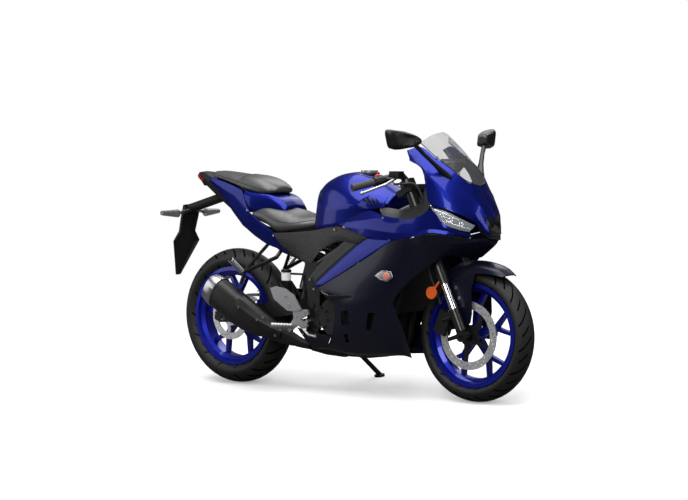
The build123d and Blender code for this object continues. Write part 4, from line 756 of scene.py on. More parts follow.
def dress(piece: bpy.types.Object, finish: Finish, body: Body,
          angle: float = 32.0) -> bpy.types.Object:
    """Parks a finished piece, gives it its finish and ties it to its body.

    Args:
        piece: mesh object on the upright machine.
        finish: what covers it.
        body: body that it rides on.
        angle: edges sharper than this stay sharp in the shading.

    Returns:
        The piece.
    """
    shade(piece, angle)
    piece.data.materials.clear()
    piece.data.materials.append(finish.material())
    pick(piece)
    piece.matrix_world = PARKED @ piece.matrix_world
    bpy.ops.object.transform_apply(location=True, rotation=True, scale=True)
    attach(piece, body.value)
    LOG.info("%s on %s: %d faces", piece.name, body.value, len(piece.data.polygons))
    return piece


def cover(node: str, finish: Finish) -> None:
    """Gives a node of the frame its finish."""
    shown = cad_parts[node]
    if not shown.data.materials:
        shown.data.materials.append(finish.material())
    for slot in shown.material_slots:
        slot.material = finish.material()


# ---------------------------------------------------------------- the studio
@dataclass(frozen=True)
class Lamp:
    """Square area lamp that looks at the machine."""

    name: str
    place: Point
    size: float
    energy: float

    def build(self, aim: Vector) -> None:
        """Builds the lamp, turned to a point."""
        bpy.ops.object.light_add(type="AREA", location=self.place)
        lamp = bpy.context.object
        lamp.name = f"lamp_{self.name}"
        lamp.data.size = self.size
        lamp.data.energy = self.energy
        lamp.rotation_mode = "QUATERNION"
        lamp.rotation_quaternion = (Vector(self.place) - aim).to_track_quat("Z", "Y")


@dataclass
class Studio:
    """Camera, lamps, pale floor and the world's light."""

    azimuth: float = math.radians(39.29)
    elevation: float = math.radians(2.828)
    distance: float = 11.640
    target: Vector = field(default_factory=lambda: Vector((0.632, 0.0, 0.6386)))
    lens: float = 134.51
    aim: Vector = field(default_factory=lambda: Vector((0.0, 0.0, 0.5)))
    lamps: tuple[Lamp, ...] = (
        Lamp("key", (2.6, -4.4, 3.6), 2.2, 170.0), Lamp("fill", (-3.8, -2.6, 2.0), 2.4, 50.0),
        Lamp("front", (4.6, 0.6, 2.2), 1.6, 50.0), Lamp("back", (-1.5, 4.5, 3.6), 3.0, 90.0),
        Lamp("top", (0.0, -0.2, 4.2), 4.4, 420.0),
    )
    floor_size: float = 60.0
    fade_start: float = 0.8
    fade_end: float = 2.2
    glow_at_machine: float = 0.3
    even_light: float = 0.1

    def camera(self) -> None:
        """Makes the camera, which leans with the machine so that the machine stands upright in its view."""
        back = Vector((math.sin(self.azimuth) * math.cos(self.elevation),
                       -math.cos(self.azimuth) * math.cos(self.elevation), math.sin(self.elevation)))
        right = Vector((math.cos(self.azimuth), math.sin(self.azimuth), 0.0))
        up = back.cross(right)
        turn = Matrix((right, up, back)).transposed().to_4x4()
        bpy.ops.object.camera_add()
        eye = bpy.context.object
        eye.name = "camera"
        eye.data.sensor_width = 36.0
        eye.data.lens = self.lens
        eye.data.clip_end = 200.0
        eye.matrix_world = PARKED @ Matrix.Translation(self.target + back * self.distance) @ turn
        bpy.context.scene.camera = eye

    def floor(self) -> None:
        """Pale floor that takes the shadows, fades into the white round it and looks dim in reflections."""
        clear_selection()
        bpy.ops.mesh.primitive_grid_add(x_subdivisions=4, y_subdivisions=4, size=self.floor_size)
        ground = bpy.context.object
        ground.name = "studio_floor"
        material = bpy.data.materials.new("pale_floor")
        material.use_nodes = True
        tree = material.node_tree
        shader = tree.nodes["Principled BSDF"]
        feed(tree, shader, {"Base Color": (0.9, 0.9, 0.9, 1), "Roughness": 0.9})
        away = add_node(tree, "VectorMath", {0: position(tree)}, operation="LENGTH")
        fade = add_node(tree, "MapRange", {"Value": away.outputs["Value"], "From Min": self.fade_start,
                                           "From Max": self.fade_end, "To Min": self.glow_at_machine})
        glow = add_node(tree, "Emission", {"Color": WHITE})
        lit = add_node(tree, "MixShader", {"Fac": fade.outputs["Result"], 1: shader.outputs[0],
                                           2: glow.outputs[0]})
        dim = add_node(tree, "BsdfDiffuse", {"Color": (0.1, 0.1, 0.1, 1)})
        choice = add_node(tree, "MixShader", {"Fac": self._seen(tree), 1: dim.outputs[0], 2: lit.outputs[0]})
        feed(tree, tree.nodes["Material Output"], {"Surface": choice.outputs[0]})
        ground.data.materials.append(material)

    @staticmethod
    def _seen(tree: bpy.types.NodeTree) -> bpy.types.NodeSocket:
        """Socket that is 1 for what the camera sees, directly or through glass."""
        path = add_node(tree, "LightPath").outputs
        return maths(tree, "MAXIMUM", path["Is Camera Ray"], path["Is Transmission Ray"])

    def world(self) -> None:
        """White surroundings in view, and a lower even light on the machine."""
        world = bpy.data.worlds.new("studio_world")
        bpy.context.scene.world = world
        world.use_nodes = True
        tree = world.node_tree
        tree.nodes.clear()
        seen = add_node(tree, "Background", {"Strength": 1.0, "Color": WHITE})
        light = add_node(tree, "Background", {"Strength": self.even_light, "Color": WHITE})
        mix = add_node(tree, "MixShader", {"Fac": self._seen(tree), 1: light.outputs[0], 2: seen.outputs[0]})
        add_node(tree, "OutputWorld", {"Surface": mix.outputs[0]})

    def build(self) -> None:
        """Sets up the whole studio."""
        bpy.context.scene.view_settings.view_transform = "Standard"
        self.camera()
        for lamp in self.lamps:
            lamp.build(self.aim)
        self.floor()
        self.world()


# ---------------------------------------------------------------- smooth lines and rounded forms
def smooth_line(points: Sequence[Vector], steps: int, creases: Sequence[int] = (),
                closed: bool = False) -> list[Vector]:
    """Smooth line through points, with corners kept at its creases.

    Args:
        points: points that the line passes through.
        steps: parts that each stretch between two points is cut into.
        creases: indices of the points where the line may turn sharply.
        closed: whether the last point joins the first.

    Returns:
        The points of the line; a closed line doesn't repeat its first point.
    """
    count = len(points)
    spans = count if closed else count - 1
    line = []
    for number in range(spans):
        b = points[number]
        c = points[(number + 1) % count]
        has_before = (closed or number > 0) and number not in creases
        has_after = (closed or number < spans - 1) and (number + 1) % count not in creases
        a = points[(number - 1) % count] if has_before else b * 2 - c
        d = points[(number + 2) % count] if has_after else c * 2 - b
        length = (c - b).length
        if length < 1e-7:
            line += [b.copy() for _ in range(steps)]
            continue
        ratio_b = math.sqrt(max((b - a).length, 1e-6) / length)
        ratio_c = math.sqrt(max((d - c).length, 1e-6) / length)
        slope_b = ((b - a) / ratio_b - (c - a) / (ratio_b + 1) + (c - b))
        slope_c = ((c - b) - (d - b) / (1 + ratio_c) + (d - c) / ratio_c)
        for step in range(steps):
            t = step / steps
            line.append(b * (2 * t**3 - 3 * t**2 + 1) + c * (3 * t**2 - 2 * t**3)
                        + slope_b * (t**3 - 2 * t**2 + t) + slope_c * (t**3 - t**2))
    if not closed:
        line.append(points[-1].copy())
    return line


def smooth_grid(rows: Sequence[Sequence[Vector]], row_steps: int, column_steps: int,
                creased_rows: Sequence[int] = (), creased_columns: Sequence[int] = ()) -> list[list[Vector]]:
    """Finer grid of points on a smooth surface through a grid of points.

    Args:
        rows: rows of points with the same count.
        row_steps: parts between two rows.
        column_steps: parts between two columns.
        creased_rows: rows along which the surface may fold.
        creased_columns: columns along which the surface may fold.

    Returns:
        The rows of the finer grid.
    """
    fine = [smooth_line(row, column_steps, creased_columns) for row in rows]
    columns = [smooth_line([row[number] for row in fine], row_steps, creased_rows)
               for number in range(len(fine[0]))]
    return [[column[number] for column in columns] for number in range(len(columns[0]))]


def mirrored_rows(rows: Sequence[Sequence[Point]], side: Side) -> list[list[Vector]]:
    """Rows of (x, half width, z) millimetre points, laid on one side of the machine."""
    return [[mm(x, side.value * w, z) for x, w, z in row] for row in rows]


def hull(name: str, rings: Sequence[tuple[float, Sequence[tuple[float, float]]]], steps: int = 4,
         creases: Sequence[int] = (), edge: float = 0.002) -> bpy.types.Object:
    """Closed rounded form across the machine, from rings of half outlines.

    Args:
        name: name of the piece.
        rings: (x, half outline) of each ring; a half outline runs from the bottom centre to the top centre.
        steps: parts between two rings and between two points.
        creases: points of the half outline where the form may fold.
        edge: width of the rounded edges in metres.

    Returns:
        The new mesh object.
    """
    halves = [[mm(x, -w, z) for w, z in half] for x, half in rings]
    grid = smooth_grid(halves, steps, steps, creased_columns=creases)
    whole = []
    for row in grid:
        mirrored = [Vector((p.x, -p.y, p.z)) for p in reversed(row[1:-1])]
        whole.append(row + mirrored)
    piece = loft(name, whole)
    if edge:
        soften(piece, edge, 2, 40.0)
    return piece


def hoop(name: str, centre: Vector, outline: Sequence[tuple[float, float]], steps: int) -> bpy.types.Object:
    """Ring spun about a wheel's axle from a closed outline.

    Args:
        name: name of the piece.
        centre: middle of the wheel.
        outline: (radius, Y) of each corner of its section, in metres.
        steps: parts of the turn.

    Returns:
        The new mesh object.
    """
    clear_selection()
    bpy.ops.mesh.primitive_circle_add(vertices=len(outline), radius=0.1, fill_type="NOTHING")
    piece = bpy.context.object
    piece.name = name
    bpy.ops.object.mode_set(mode="EDIT")
    bpy.ops.mesh.select_all(action="SELECT")
    place_selected(piece, [centre + Vector((0.0, y, radius)) for radius, y in outline])
    bpy.ops.mesh.spin(steps=steps, angle=2 * math.pi, center=centre, axis=(0, 1, 0))
    bpy.ops.mesh.select_all(action="SELECT")
    bpy.ops.mesh.remove_doubles(threshold=0.00002)
    bpy.ops.mesh.normals_make_consistent(inside=False)
    bpy.ops.object.mode_set(mode="OBJECT")
    return piece


PADDING_PRESSURE = 4.0
PADDING_FRAMES = 20
RELAX_TURNS = 14


def inflate(piece: bpy.types.Object, cap: float, voxel: float = 0.005, shrink: float = 0.001) -> None:
    """Pads a cushion: its surface is remeshed, blown up as cloth, and held within a distance of where it was.

    Args:
        piece: closed mesh.
        cap: farthest that a point may move, in metres.
        voxel: size of the remeshed faces.
        shrink: how far the surface is drawn in first.
    """
    pick(piece)
    drawn = piece.modifiers.new("draw_in", "DISPLACE")
    drawn.strength = -shrink
    drawn.mid_level = 0.0
    bpy.ops.object.modifier_apply(modifier=drawn.name)
    piece.data.remesh_voxel_size = voxel
    bpy.ops.object.voxel_remesh()
    start = [vertex.co.copy() for vertex in piece.data.vertices]
    cloth = piece.modifiers.new("padding", "CLOTH")
    cloth.settings.use_pressure = True
    cloth.settings.uniform_pressure_force = PADDING_PRESSURE
    cloth.settings.effector_weights.gravity = 0.0
    for number in range(1, PADDING_FRAMES + 1):
        bpy.context.scene.frame_set(number)
    blown = piece.evaluated_get(bpy.context.evaluated_depsgraph_get()).data
    ends = [vertex.co.copy() for vertex in blown.vertices]
    piece.modifiers.remove(cloth)
    bpy.context.scene.frame_set(1)
    for vertex, before, after in zip(piece.data.vertices, start, ends):
        move = after - before
        vertex.co = before + move * min(1.0, cap / max(move.length, 1e-9))
    relaxed = piece.modifiers.new("relax", "SMOOTH")
    relaxed.iterations = RELAX_TURNS
    relaxed.factor = 0.5
    rounded = piece.modifiers.new("rounding", "SUBSURF")
    rounded.levels = 1
    rounded.render_levels = 1
    apply_modifiers(piece)


def seam(name: str, cushion: bpy.types.Object, points: Sequence[Vector], radius: float) -> bpy.types.Object:
    """Raised seam laid on a cushion along points near its surface.

    Args:
        name: name of the piece.
        cushion: mesh that carries the seam.
        points: points near the surface.
        radius: radius of the seam in metres.

    Returns:
        The new mesh object.
    """
    laid = []
    for point in smooth_line(list(points), 6):
        found, spot, normal, _ = cushion.closest_point_on_mesh(point)
        laid.append(spot + normal * radius * 0.2 if found else point)
    return tube(name, laid, radius, 3)


# ---------------------------------------------------------------- bodywork
@dataclass(frozen=True)
class Skin:
    """Moulded panel of the bodywork, drawn for one side by rows of (x, half width, z) and used on both."""

    name: str
    rows: tuple[tuple[Point, ...], ...]
    finish: Finish
    creased_columns: tuple[int, ...] = ()
    creased_rows: tuple[int, ...] = ()
    outward: Point = (0.0, 1.0, 0.25)
    wall: float = 3.0
    row_steps: int = 5
    column_steps: int = 4
    edge: float = 0.9

    def half(self, side: Side) -> bpy.types.Object:
        """The panel on one side."""
        grid = smooth_grid(mirrored_rows(self.rows, side), self.row_steps, self.column_steps,
                           self.creased_rows, self.creased_columns)
        x, y, z = self.outward
        return panel(f"{self.name}_{side.name.lower()}", grid, Vector((x, y * side.value, z)),
                     self.wall * MILLIMETRE, self.edge * MILLIMETRE)

    def pair(self) -> list[bpy.types.Object]:
        """The panel on both sides."""
        return [self.half(side) for side in Side]


NOSE = Skin("nose_skin", (
    ((1093, 130, 1094), (1104, 137, 1078), (1115, 142, 1060), (1117, 144, 1055), (1119, 146, 1050)),
    ((1155, 112, 1110), (1174, 134, 1068), (1194, 155, 1024), (1196, 157, 1018), (1198, 159, 1012)),
    ((1236, 108, 1061), (1245, 138, 1020), (1254, 165, 977), (1258, 176, 930), (1266, 189, 862)),
    ((1313, 100, 1013), (1318, 126, 970), (1325, 150, 926), (1336, 162, 882), (1342, 172, 842)),
    ((1372, 75, 963), (1373, 104, 920), (1380, 125, 880), (1386, 136, 846), (1394, 139, 817)),
    ((1394, 38, 945), (1403, 87, 896), (1409, 108, 846), (1414, 112, 824), (1416, 114, 802)),
    ((1396, 0, 939), (1432, 56, 872), (1436, 92, 812), (1435, 92, 799), (1434, 92, 786)),
    ((1422, 0, 890), (1442, 44, 856), (1452, 73, 786), (1449, 76, 777), (1446, 77, 768)),
    ((1447, 0, 848), (1456, 40, 815), (1466, 57, 757), (1463, 61, 752), (1460, 63, 748)),
    ((1471, 0, 804), (1468, 42, 784), (1475, 42, 733), (1473, 44, 730), (1471, 46, 728)),
), Finishes.BLUE, creased_columns=(1,), outward=(0.5, 1.0, 0.5))
UPPER = Skin("upper_skin", (
    ((720, 150, 766), (722, 152, 765), (729, 158, 764), (736, 162, 763)),
    ((805, 158, 795), (808, 176, 775), (806, 178, 752), (800, 176, 742)),
    ((904, 163, 828), (900, 190, 786), (898, 198, 750), (890, 196, 722)),
    ((1003, 188, 810), (1000, 196, 796), (1000, 210, 742), (985, 206, 706)),
    ((1081, 198, 800), (1081, 204, 780), (1084, 215, 736), (1084, 213, 706)),
    ((1156, 203, 796), (1157, 207, 778), (1158, 216, 736), (1160, 216, 715)),
    ((1225, 203, 814), (1224, 208, 785), (1224, 213, 745), (1226, 217, 728)),
    ((1278, 194, 838), (1280, 200, 795), (1284, 206, 756), (1286, 214, 741)),
    ((1336, 190, 782), (1343, 190, 766), (1346, 186, 750), (1350, 196, 736)),
    ((1385, 157, 752), (1386, 158, 746), (1384, 155, 739), (1380, 160, 731)),
    ((1421, 111, 739), (1424, 106, 734), (1428, 99, 727), (1430, 90, 720)),
), Finishes.BLUE, creased_columns=(1, 2))
BLADE = Skin("blade_skin", (
    ((924, 190, 711), (985, 202, 706), (1079, 214, 702)),
    ((859, 190, 673), (900, 202, 650), (946, 208, 631)),
    ((728, 188, 578), (760, 196, 565), (794, 200, 553)),
    ((616, 186, 494), (626, 190, 486), (640, 192, 478)),
), Finishes.BLUE)
INNER = Skin("inner_skin", (
    ((770, 168, 688), (842, 176, 680), (866, 189, 676)),
    ((640, 163, 597), (715, 172, 594), (734, 187, 581)),
    ((554, 160, 514), (590, 166, 500), (618, 185, 493)),
), Finishes.BLACK_SATIN, creased_columns=(1,))
LOWER = Skin("lower_skin", (
    ((640, 192, 477), (676, 195, 445), (739, 197, 408), (731, 188, 339), (696, 170, 256), (640, 130, 204),
     (600, 70, 186)),
    ((794, 200, 552), (800, 212, 480), (812, 216, 410), (806, 204, 340), (790, 176, 262), (770, 130, 196),
     (760, 70, 172)),
    ((946, 208, 630), (946, 220, 540), (940, 222, 430), (936, 208, 345), (930, 180, 270), (920, 132, 200),
     (915, 74, 178)),
    ((1079, 214, 700), (1070, 218, 590), (1050, 212, 470), (1040, 200, 380), (1036, 176, 292),
     (1034, 132, 210), (1032, 78, 186)),
    ((1180, 219, 713), (1182, 200, 640), (1164, 182, 541), (1069, 186, 430), (1081, 180, 368),
     (1106, 160, 284), (1116, 124, 184)),
), Finishes.NAVY, creased_columns=(2,))
BELLY = Skin("belly_skin", (
    ((694.2, 170, 256), (666.2, 150, 230), (638.2, 130, 204), (598.2, 70, 186)),
    ((611.2, 164, 268), (609.2, 150, 236), (595.2, 132, 205), (571.2, 72, 187)),
    ((539.2, 158, 279), (555.2, 146, 240), (569.2, 128, 200), (555.2, 74, 188)),
    ((479.2, 150, 289), (511.2, 146, 250), (551.2, 126, 198), (539.2, 78, 190)),
), Finishes.NAVY)
CHIN = Skin("chin_skin", (
    ((1181, 220, 715), (1181, 218, 697), (1183, 200, 640), (1166, 182, 540)),
    ((1279, 222, 735), (1274, 217, 692), (1283, 188, 660), (1258, 165, 603)),
    ((1366, 172, 727), (1362, 156, 692), (1355, 130, 668), (1310, 128, 637)),
    ((1424, 93, 715), (1409, 112, 699), (1415, 60, 672), (1396, 9, 629)),
    ((1464, 47, 715), (1468, 38, 708), (1472, 20, 694), (1470, 0, 679)),
), Finishes.NAVY, creased_columns=(1,), outward=(0.3, 1.0, 0.0))
TAIL = Skin("tail_skin", (
    ((-116, 74, 962), (-116, 79, 950), (-122, 73, 938)),
    ((-26, 87, 942), (-20, 92, 912), (-20, 84, 862)),
    ((61, 104, 920), (60, 104, 880), (40, 92, 802)),
    ((114, 111, 902), (124, 113, 830), (109, 100, 740)),
    ((158, 117, 806), (176, 117, 782), (187, 105, 694)),
    ((240, 122, 756), (250, 121, 735), (266, 110, 658)),
    ((318, 122, 712), (330, 121, 694), (340, 112, 638)),
    ((400, 116, 636), (403, 116, 628), (405, 115, 618)),
), Finishes.BLUE, creased_columns=(1,), creased_rows=(3, 4))
COCKPIT = Skin("cockpit_skin", (
    ((961, 150, 840), (963, 156, 838), (965, 160, 836)),
    ((1003, 150, 842), (1003, 168, 826), (1003, 184, 806)),
    ((1081, 152, 836), (1081, 174, 816), (1081, 194, 796)),
    ((1149, 158, 849), (1152, 180, 822), (1156, 199, 792)),
    ((1199, 160, 875), (1212, 182, 844), (1225, 199, 812)),
    ((1210, 160, 921), (1240, 176, 880), (1262, 190, 850)),
    ((1246, 162, 975), (1250, 164, 950), (1254, 172, 925)),
), Finishes.BLACK_SATIN, outward=(-0.4, 1.0, 0.6))
SIDE_COVER = Skin("side_cover_skin", (
    ((320, 126, 712), (334, 127, 690), (352, 124, 664)),
    ((424, 124, 717), (426, 128, 668), (429, 122, 615)),
    ((540, 122, 727), (541, 134, 660), (542, 140, 572)),
    ((600, 128, 737), (606, 138, 690), (612, 144, 640)),
    ((712, 142, 752), (718, 152, 716), (722, 150, 684)),
    ((839, 163, 733), (840, 168, 704), (841, 167, 678)),
    ((905, 170, 712), (905, 172, 708), (905, 171, 704)),
), Finishes.WEAVE, creased_rows=(2, 3))
TANK_POD = Skin("tank_pod_skin", (
    ((838, 160, 862), (838, 158, 846), (850, 158, 832)),
    ((890, 150, 892), (890, 163, 866), (900, 166, 832)),
    ((940, 136, 900), (942, 156, 872), (946, 165, 836)),
    ((982, 120, 890), (984, 142, 868), (986, 154, 844)),
), Finishes.BLUE)

TANK_RINGS = (
    (538, ((0, 742), (98, 740), (88, 800), (70, 880), (50, 910), (0, 920))),
    (600, ((0, 742), (122, 740), (120, 830), (97, 926), (62, 952), (0, 962))),
    (680, ((0, 750), (140, 748), (142, 838), (120, 926), (72, 978), (0, 990))),
    (770, ((0, 772), (152, 770), (158, 846), (136, 908), (70, 982), (0, 991))),
    (850, ((0, 800), (156, 800), (158, 848), (142, 880), (64, 956), (0, 972))),
    (920, ((0, 822), (146, 824), (146, 850), (130, 876), (52, 926), (0, 938))),
    (972, ((0, 836), (104, 838), (110, 856), (90, 872), (40, 900), (0, 906))),
)
HUMP_RINGS = (
    (121, ((0, 812), (108, 812), (110, 880), (102, 902), (0, 904))),
    (170, ((0, 808), (108, 808), (110, 872), (100, 893), (0, 896))),
    (258, ((0, 796), (98, 796), (99, 860), (90, 884), (0, 888))),
    (318, ((0, 796), (84, 796), (88, 838), (72, 862), (0, 868))),
    (352, ((0, 794), (70, 794), (74, 814), (60, 830), (0, 836))),
)
TAIL_CENTRE_RINGS = (
    (-243, ((0, 966), (12, 967), (16, 974), (12, 981), (0, 982))),
    (-190, ((0, 930), (36, 932), (46, 952), (40, 982), (0, 986))),
    (-122, ((0, 886), (50, 890), (60, 930), (56, 958), (0, 962))),
    (-60, ((0, 848), (58, 852), (66, 890), (62, 930), (0, 940))),
    (20, ((0, 800), (64, 803), (70, 840), (66, 890), (0, 900))),
)


@dataclass(frozen=True)
class Slot:
    """Slot cut through the lower flank, drawn in the side view."""

    outline: tuple[tuple[float, float], ...]

    def cutter(self, side: Side) -> bpy.types.Object:
        """Plate that cuts the slot."""
        return slab("slot_cutter", self.outline, side.value * 120, side.value * 260, 0.0)


SLOTS = (
    Slot(((779, 382), (829, 384), (824, 322), (778, 318))),
    Slot(((944, 380), (979, 382), (944, 304), (918, 304))),
    Slot(((778, 275), (802, 278), (796, 240), (776, 236))),
)


def cut(piece: bpy.types.Object, cutters: Sequence[bpy.types.Object]) -> None:
    """Cuts the space of each cutter out of a piece and deletes the cutters."""
    for cutter in cutters:
        knife = piece.modifiers.new("cut", "BOOLEAN")
        knife.object = cutter
        knife.operation = "DIFFERENCE"
        knife.solver = "EXACT"
    apply_modifiers(piece)
    for cutter in cutters:
        bpy.data.objects.remove(cutter, do_unlink=True)


class Bodywork:
    """Painted and black panels, drawn over the frame's plain ones."""

    def painted(self) -> None:
        """Panels that are used as they are drawn."""
        plan = ((NOSE, "nose_cowl", "body_blue", 30.0), (UPPER, "upper_fairings", "body_blue", 12.0),
                (BLADE, "fairing_blades", "body_blue", 40.0),
                (INNER, "inner_fairings", "black_plastic", 30.0),
                (CHIN, "chin_fairings", "body_navy", 14.0), (TAIL, "tail_cowls", "body_blue", 30.0),
                (COCKPIT, "cockpit_panels", "black_plastic", 40.0),
                (SIDE_COVER, "side_covers", "black_plastic", 24.0),
                (TANK_POD, "tank_side_panels", "body_blue", 40.0))
        for skin, node, slot, angle in plan:
            piece = merge(skin.name, skin.pair())
            dress(piece, skin.finish, Body.CHASSIS, angle)
            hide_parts(node)

    def flanks(self) -> None:
        """Lower flanks with their slots and tail."""
        halves = []
        for side in Side:
            half = LOWER.half(side)
            cut(half, [slot.cutter(side) for slot in SLOTS])
            halves.append(half)
        piece = merge("lower_skin", halves + [BELLY.half(Side.RIGHT)])
        dress(piece, Finishes.NAVY, Body.CHASSIS, 14.0)
        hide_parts("lower_fairings")

    def forms(self) -> None:
        """Tank, the rise behind the seat and the black centre of the tail."""
        tank = hull("tank_shell", TANK_RINGS, 5, (1, 2), edge=0.006)
        dress(tank, Finishes.BLUE, Body.CHASSIS, 28.0)
        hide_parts("fuel_tank")
        hump = hull("hump_shell", HUMP_RINGS, 4, (1, 3), edge=0.004)
        dress(hump, Finishes.BLUE, Body.CHASSIS, 28.0)
        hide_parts("tail_hump")
        centre = hull("tail_centre_shell", TAIL_CENTRE_RINGS, 4, (1, 3))
        dress(centre, Finishes.BLACK_MATT, Body.CHASSIS, 28.0)
        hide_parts("tail_centre")

    def build(self) -> None:
        """Builds every panel."""
        self.painted()
        self.flanks()
        self.forms()


# ---------------------------------------------------------------- seats
@dataclass(frozen=True)
class Seat:
    """Padded seat: its rings, and lines of seams near its surface."""

    name: str
    node: str
    rings: tuple[tuple[float, tuple[tuple[float, float], ...]], ...]
    seams: tuple[tuple[Point, ...], ...]
    cap: float = 0.004
    fill: float = 0.7

    def build(self) -> None:
        """Builds the cushion, blows it up and lays its seams on it."""
        cushion = hull(self.name, self.rings, 4, edge=0.0)
        inflate(cushion, self.cap)
        lines = [seam(f"{self.name}_seam", cushion, [mm(*point) for point in line], 0.0016)
                 for line in self.seams]
        stitched = merge(f"{self.name}_seams", lines)
        dress(cushion, Finishes.SEAT, Body.CHASSIS, 50.0)
        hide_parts(self.node)
        dress(stitched, Finishes.SEAM, Body.CHASSIS, 60.0)


SEATS = (
    Seat("rider_cushion", "rider_seat", (
        (166, ((0, 778), (106, 782), (111, 800), (96, 812), (0, 818))),
        (250, ((0, 748), (116, 755), (127, 776), (108, 818), (0, 834))),
        (330, ((0, 724), (126, 722), (136, 748), (112, 800), (0, 828))),
        (430, ((0, 726), (118, 726), (129, 746), (102, 780), (0, 800))),
        (500, ((0, 734), (104, 736), (114, 752), (90, 778), (0, 796))),
        (556, ((0, 748), (72, 748), (82, 764), (66, 786), (0, 800))),
    ), (
        ((180, -104, 810), (250, -116, 796), (340, -126, 768), (440, -116, 760), (530, -88, 780)),
        ((180, 104, 810), (250, 116, 796), (340, 126, 768), (440, 116, 760), (530, 88, 780)),
        ((548, -70, 790), (552, 0, 800), (548, 70, 790)),
    )),
    Seat("passenger_cushion", "pillion_seat", (
        (-118, ((0, 964), (58, 966), (70, 970), (54, 986), (0, 990))),
        (-15, ((0, 938), (78, 942), (89, 948), (66, 974), (0, 982))),
        (75, ((0, 916), (94, 919), (103, 926), (74, 962), (0, 974))),
        (125, ((0, 902), (98, 904), (106, 916), (74, 962), (0, 974))),
        (196, ((0, 888), (94, 890), (102, 903), (76, 948), (0, 958))),
        (250, ((0, 886), (80, 888), (91, 902), (66, 928), (0, 938))),
        (284, ((0, 892), (50, 894), (60, 904), (42, 914), (0, 918))),
    ), (
        ((-110, -60, 978), (-15, -80, 960), (75, -94, 944), (160, -98, 922), (240, -86, 906)),
        ((-110, 60, 978), (-15, 80, 960), (75, 94, 944), (160, 98, 922), (240, 86, 906)),
        ((60, -98, 930), (84, -76, 962), (100, 0, 974), (84, 76, 962), (60, 98, 930)),
    ), cap=0.003),
)


class Seats:
    """Rider's and passenger's seats."""

    def build(self) -> None:
        """Builds both seats."""
        for seat in SEATS:
            seat.build()


# ---------------------------------------------------------------- wheels
@dataclass(frozen=True)
class Wheel:
    """Tyre and small parts of one wheel."""

    name: str
    body: Body
    centre: Vector
    radius: float
    width: float
    rim_width: float
    bead: float = 216.0
    flange: float = 15.0
    drop: float = 0.36
    wall: float = 9.0

    def section(self) -> list[tuple[float, float]]:
        """Closed outline of the tyre's section, (radius, Y) in metres."""
        half = self.width / 2
        rim = self.rim_width / 2
        edge = self.radius - self.drop * self.width
        depth = self.radius - edge
        curve = (half * half + depth * depth) / (2 * depth)
        reach = math.asin(half / curve)
        outer = []
        for number in range(25):
            turn = reach * (number / 12 - 1)
            outer.append((self.radius - curve + curve * math.cos(turn), curve * math.sin(turn)))
        foot = self.bead + self.flange
        side = [(foot, -rim), ((foot + edge) / 2 - 4, -(rim + half) / 2 - 4), (edge - 8, -half + 0.4)]
        other = [(radius, -y) for radius, y in reversed(side)]
        inner = [(self.bead + 1, rim - 1), (self.bead + 1, rim - self.wall), (foot, rim - self.wall),
                 (edge, half - self.wall), (self.radius - self.wall, half * 0.5),
                 (self.radius - self.wall, -half * 0.5), (edge, self.wall - half), (foot, self.wall - rim),
                 (self.bead + 1, self.wall - rim), (self.bead + 1, 1 - rim)]
        return [(radius * MILLIMETRE, y * MILLIMETRE) for radius, y in side + outer + other + inner]

    def build(self) -> None:
        """Builds the tyre with its tread and moulded rings."""
        tyre = hoop(f"{self.name}_tyre_rubber", self.centre, self.section(), 128)
        tread = TreadRubber(f"{self.name}_tread_rubber", (0.007, 0.007, 0.007, 1), 0.6, drift=0.3,
                            height=0.25, specular=0.3, scale=800.0, axle=self.centre,
                            half_width=self.width / 2 * MILLIMETRE)
        dress(tyre, tread, self.body, 40.0)
        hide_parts(f"{self.name}_tyre")
        rings = []
        for side in Side:
            radius = self.bead + self.flange + 9
            y = side.value * (self.rim_width / 2 + 3.4)
            outline = [((radius + dr) * MILLIMETRE, (y + side.value * dy) * MILLIMETRE)
                       for dr, dy in ((-2.2, -2), (-1.4, 1.2), (0, 1.9), (1.6, 1.2), (2.4, -2))]
            rings.append(hoop(f"{self.name}_bead_line", self.centre, outline, 96))
        dress(merge(f"{self.name}_bead_lines", rings), Finishes.TYRE, self.body, 50.0)


FRONT_AXLE = mm(1380, 0, 293)
REAR_AXLE = mm(0, 0, 314)


class Wheels:
    """Tyres of both wheels."""

    def build(self) -> None:
        """Builds both tyres."""
        Wheel("front", Body.FRONT_WHEEL, FRONT_AXLE, 293, 110, 76).build()
        Wheel("rear", Body.REAR_WHEEL, REAR_AXLE, 314, 140, 102).build()


# ---------------------------------------------------------------- lamps, screen and mirrors
LENS = Skin("headlamp_lens", (
    ((1270, 189, 850), (1275, 190, 844), (1280, 190, 838)),
    ((1342, 171, 832), (1337, 183, 810), (1329, 192, 786)),
    ((1390, 137, 804), (1388, 148, 782), (1382, 156, 758)),
    ((1434, 90, 772), (1427, 102, 758), (1418, 111, 745)),
), Finishes.LENS, outward=(0.6, 1.0, 0.0), wall=2.0)
BOWL = Skin("headlamp_bowl", (
    ((1268, 182, 849), (1272, 180, 843), (1277, 184, 838)),
    ((1330, 160, 830), (1320, 164, 808), (1318, 180, 787)),
    ((1378, 126, 803), (1366, 130, 780), (1370, 144, 759)),
    ((1424, 84, 771), (1412, 88, 757), (1408, 102, 746)),
), Finishes.BLACK_GLOSS, outward=(0.6, 1.0, 0.0), wall=2.0)
SCREEN = Skin("screen_shell", (
    ((1191, 0, 1175), (1176, 62, 1160), (1145, 103, 1128)),
    ((1250, 0, 1122), (1246, 62, 1105), (1236, 105, 1064)),
    ((1318, 0, 1048), (1316, 60, 1036), (1312, 97, 1016)),
    ((1366, 0, 983), (1365, 44, 976), (1368, 72, 966)),
    ((1394, 0, 942), (1393, 18, 943), (1391, 34, 948)),
), Finishes.SCREEN, outward=(1.0, 0.2, 0.6), wall=3.0)
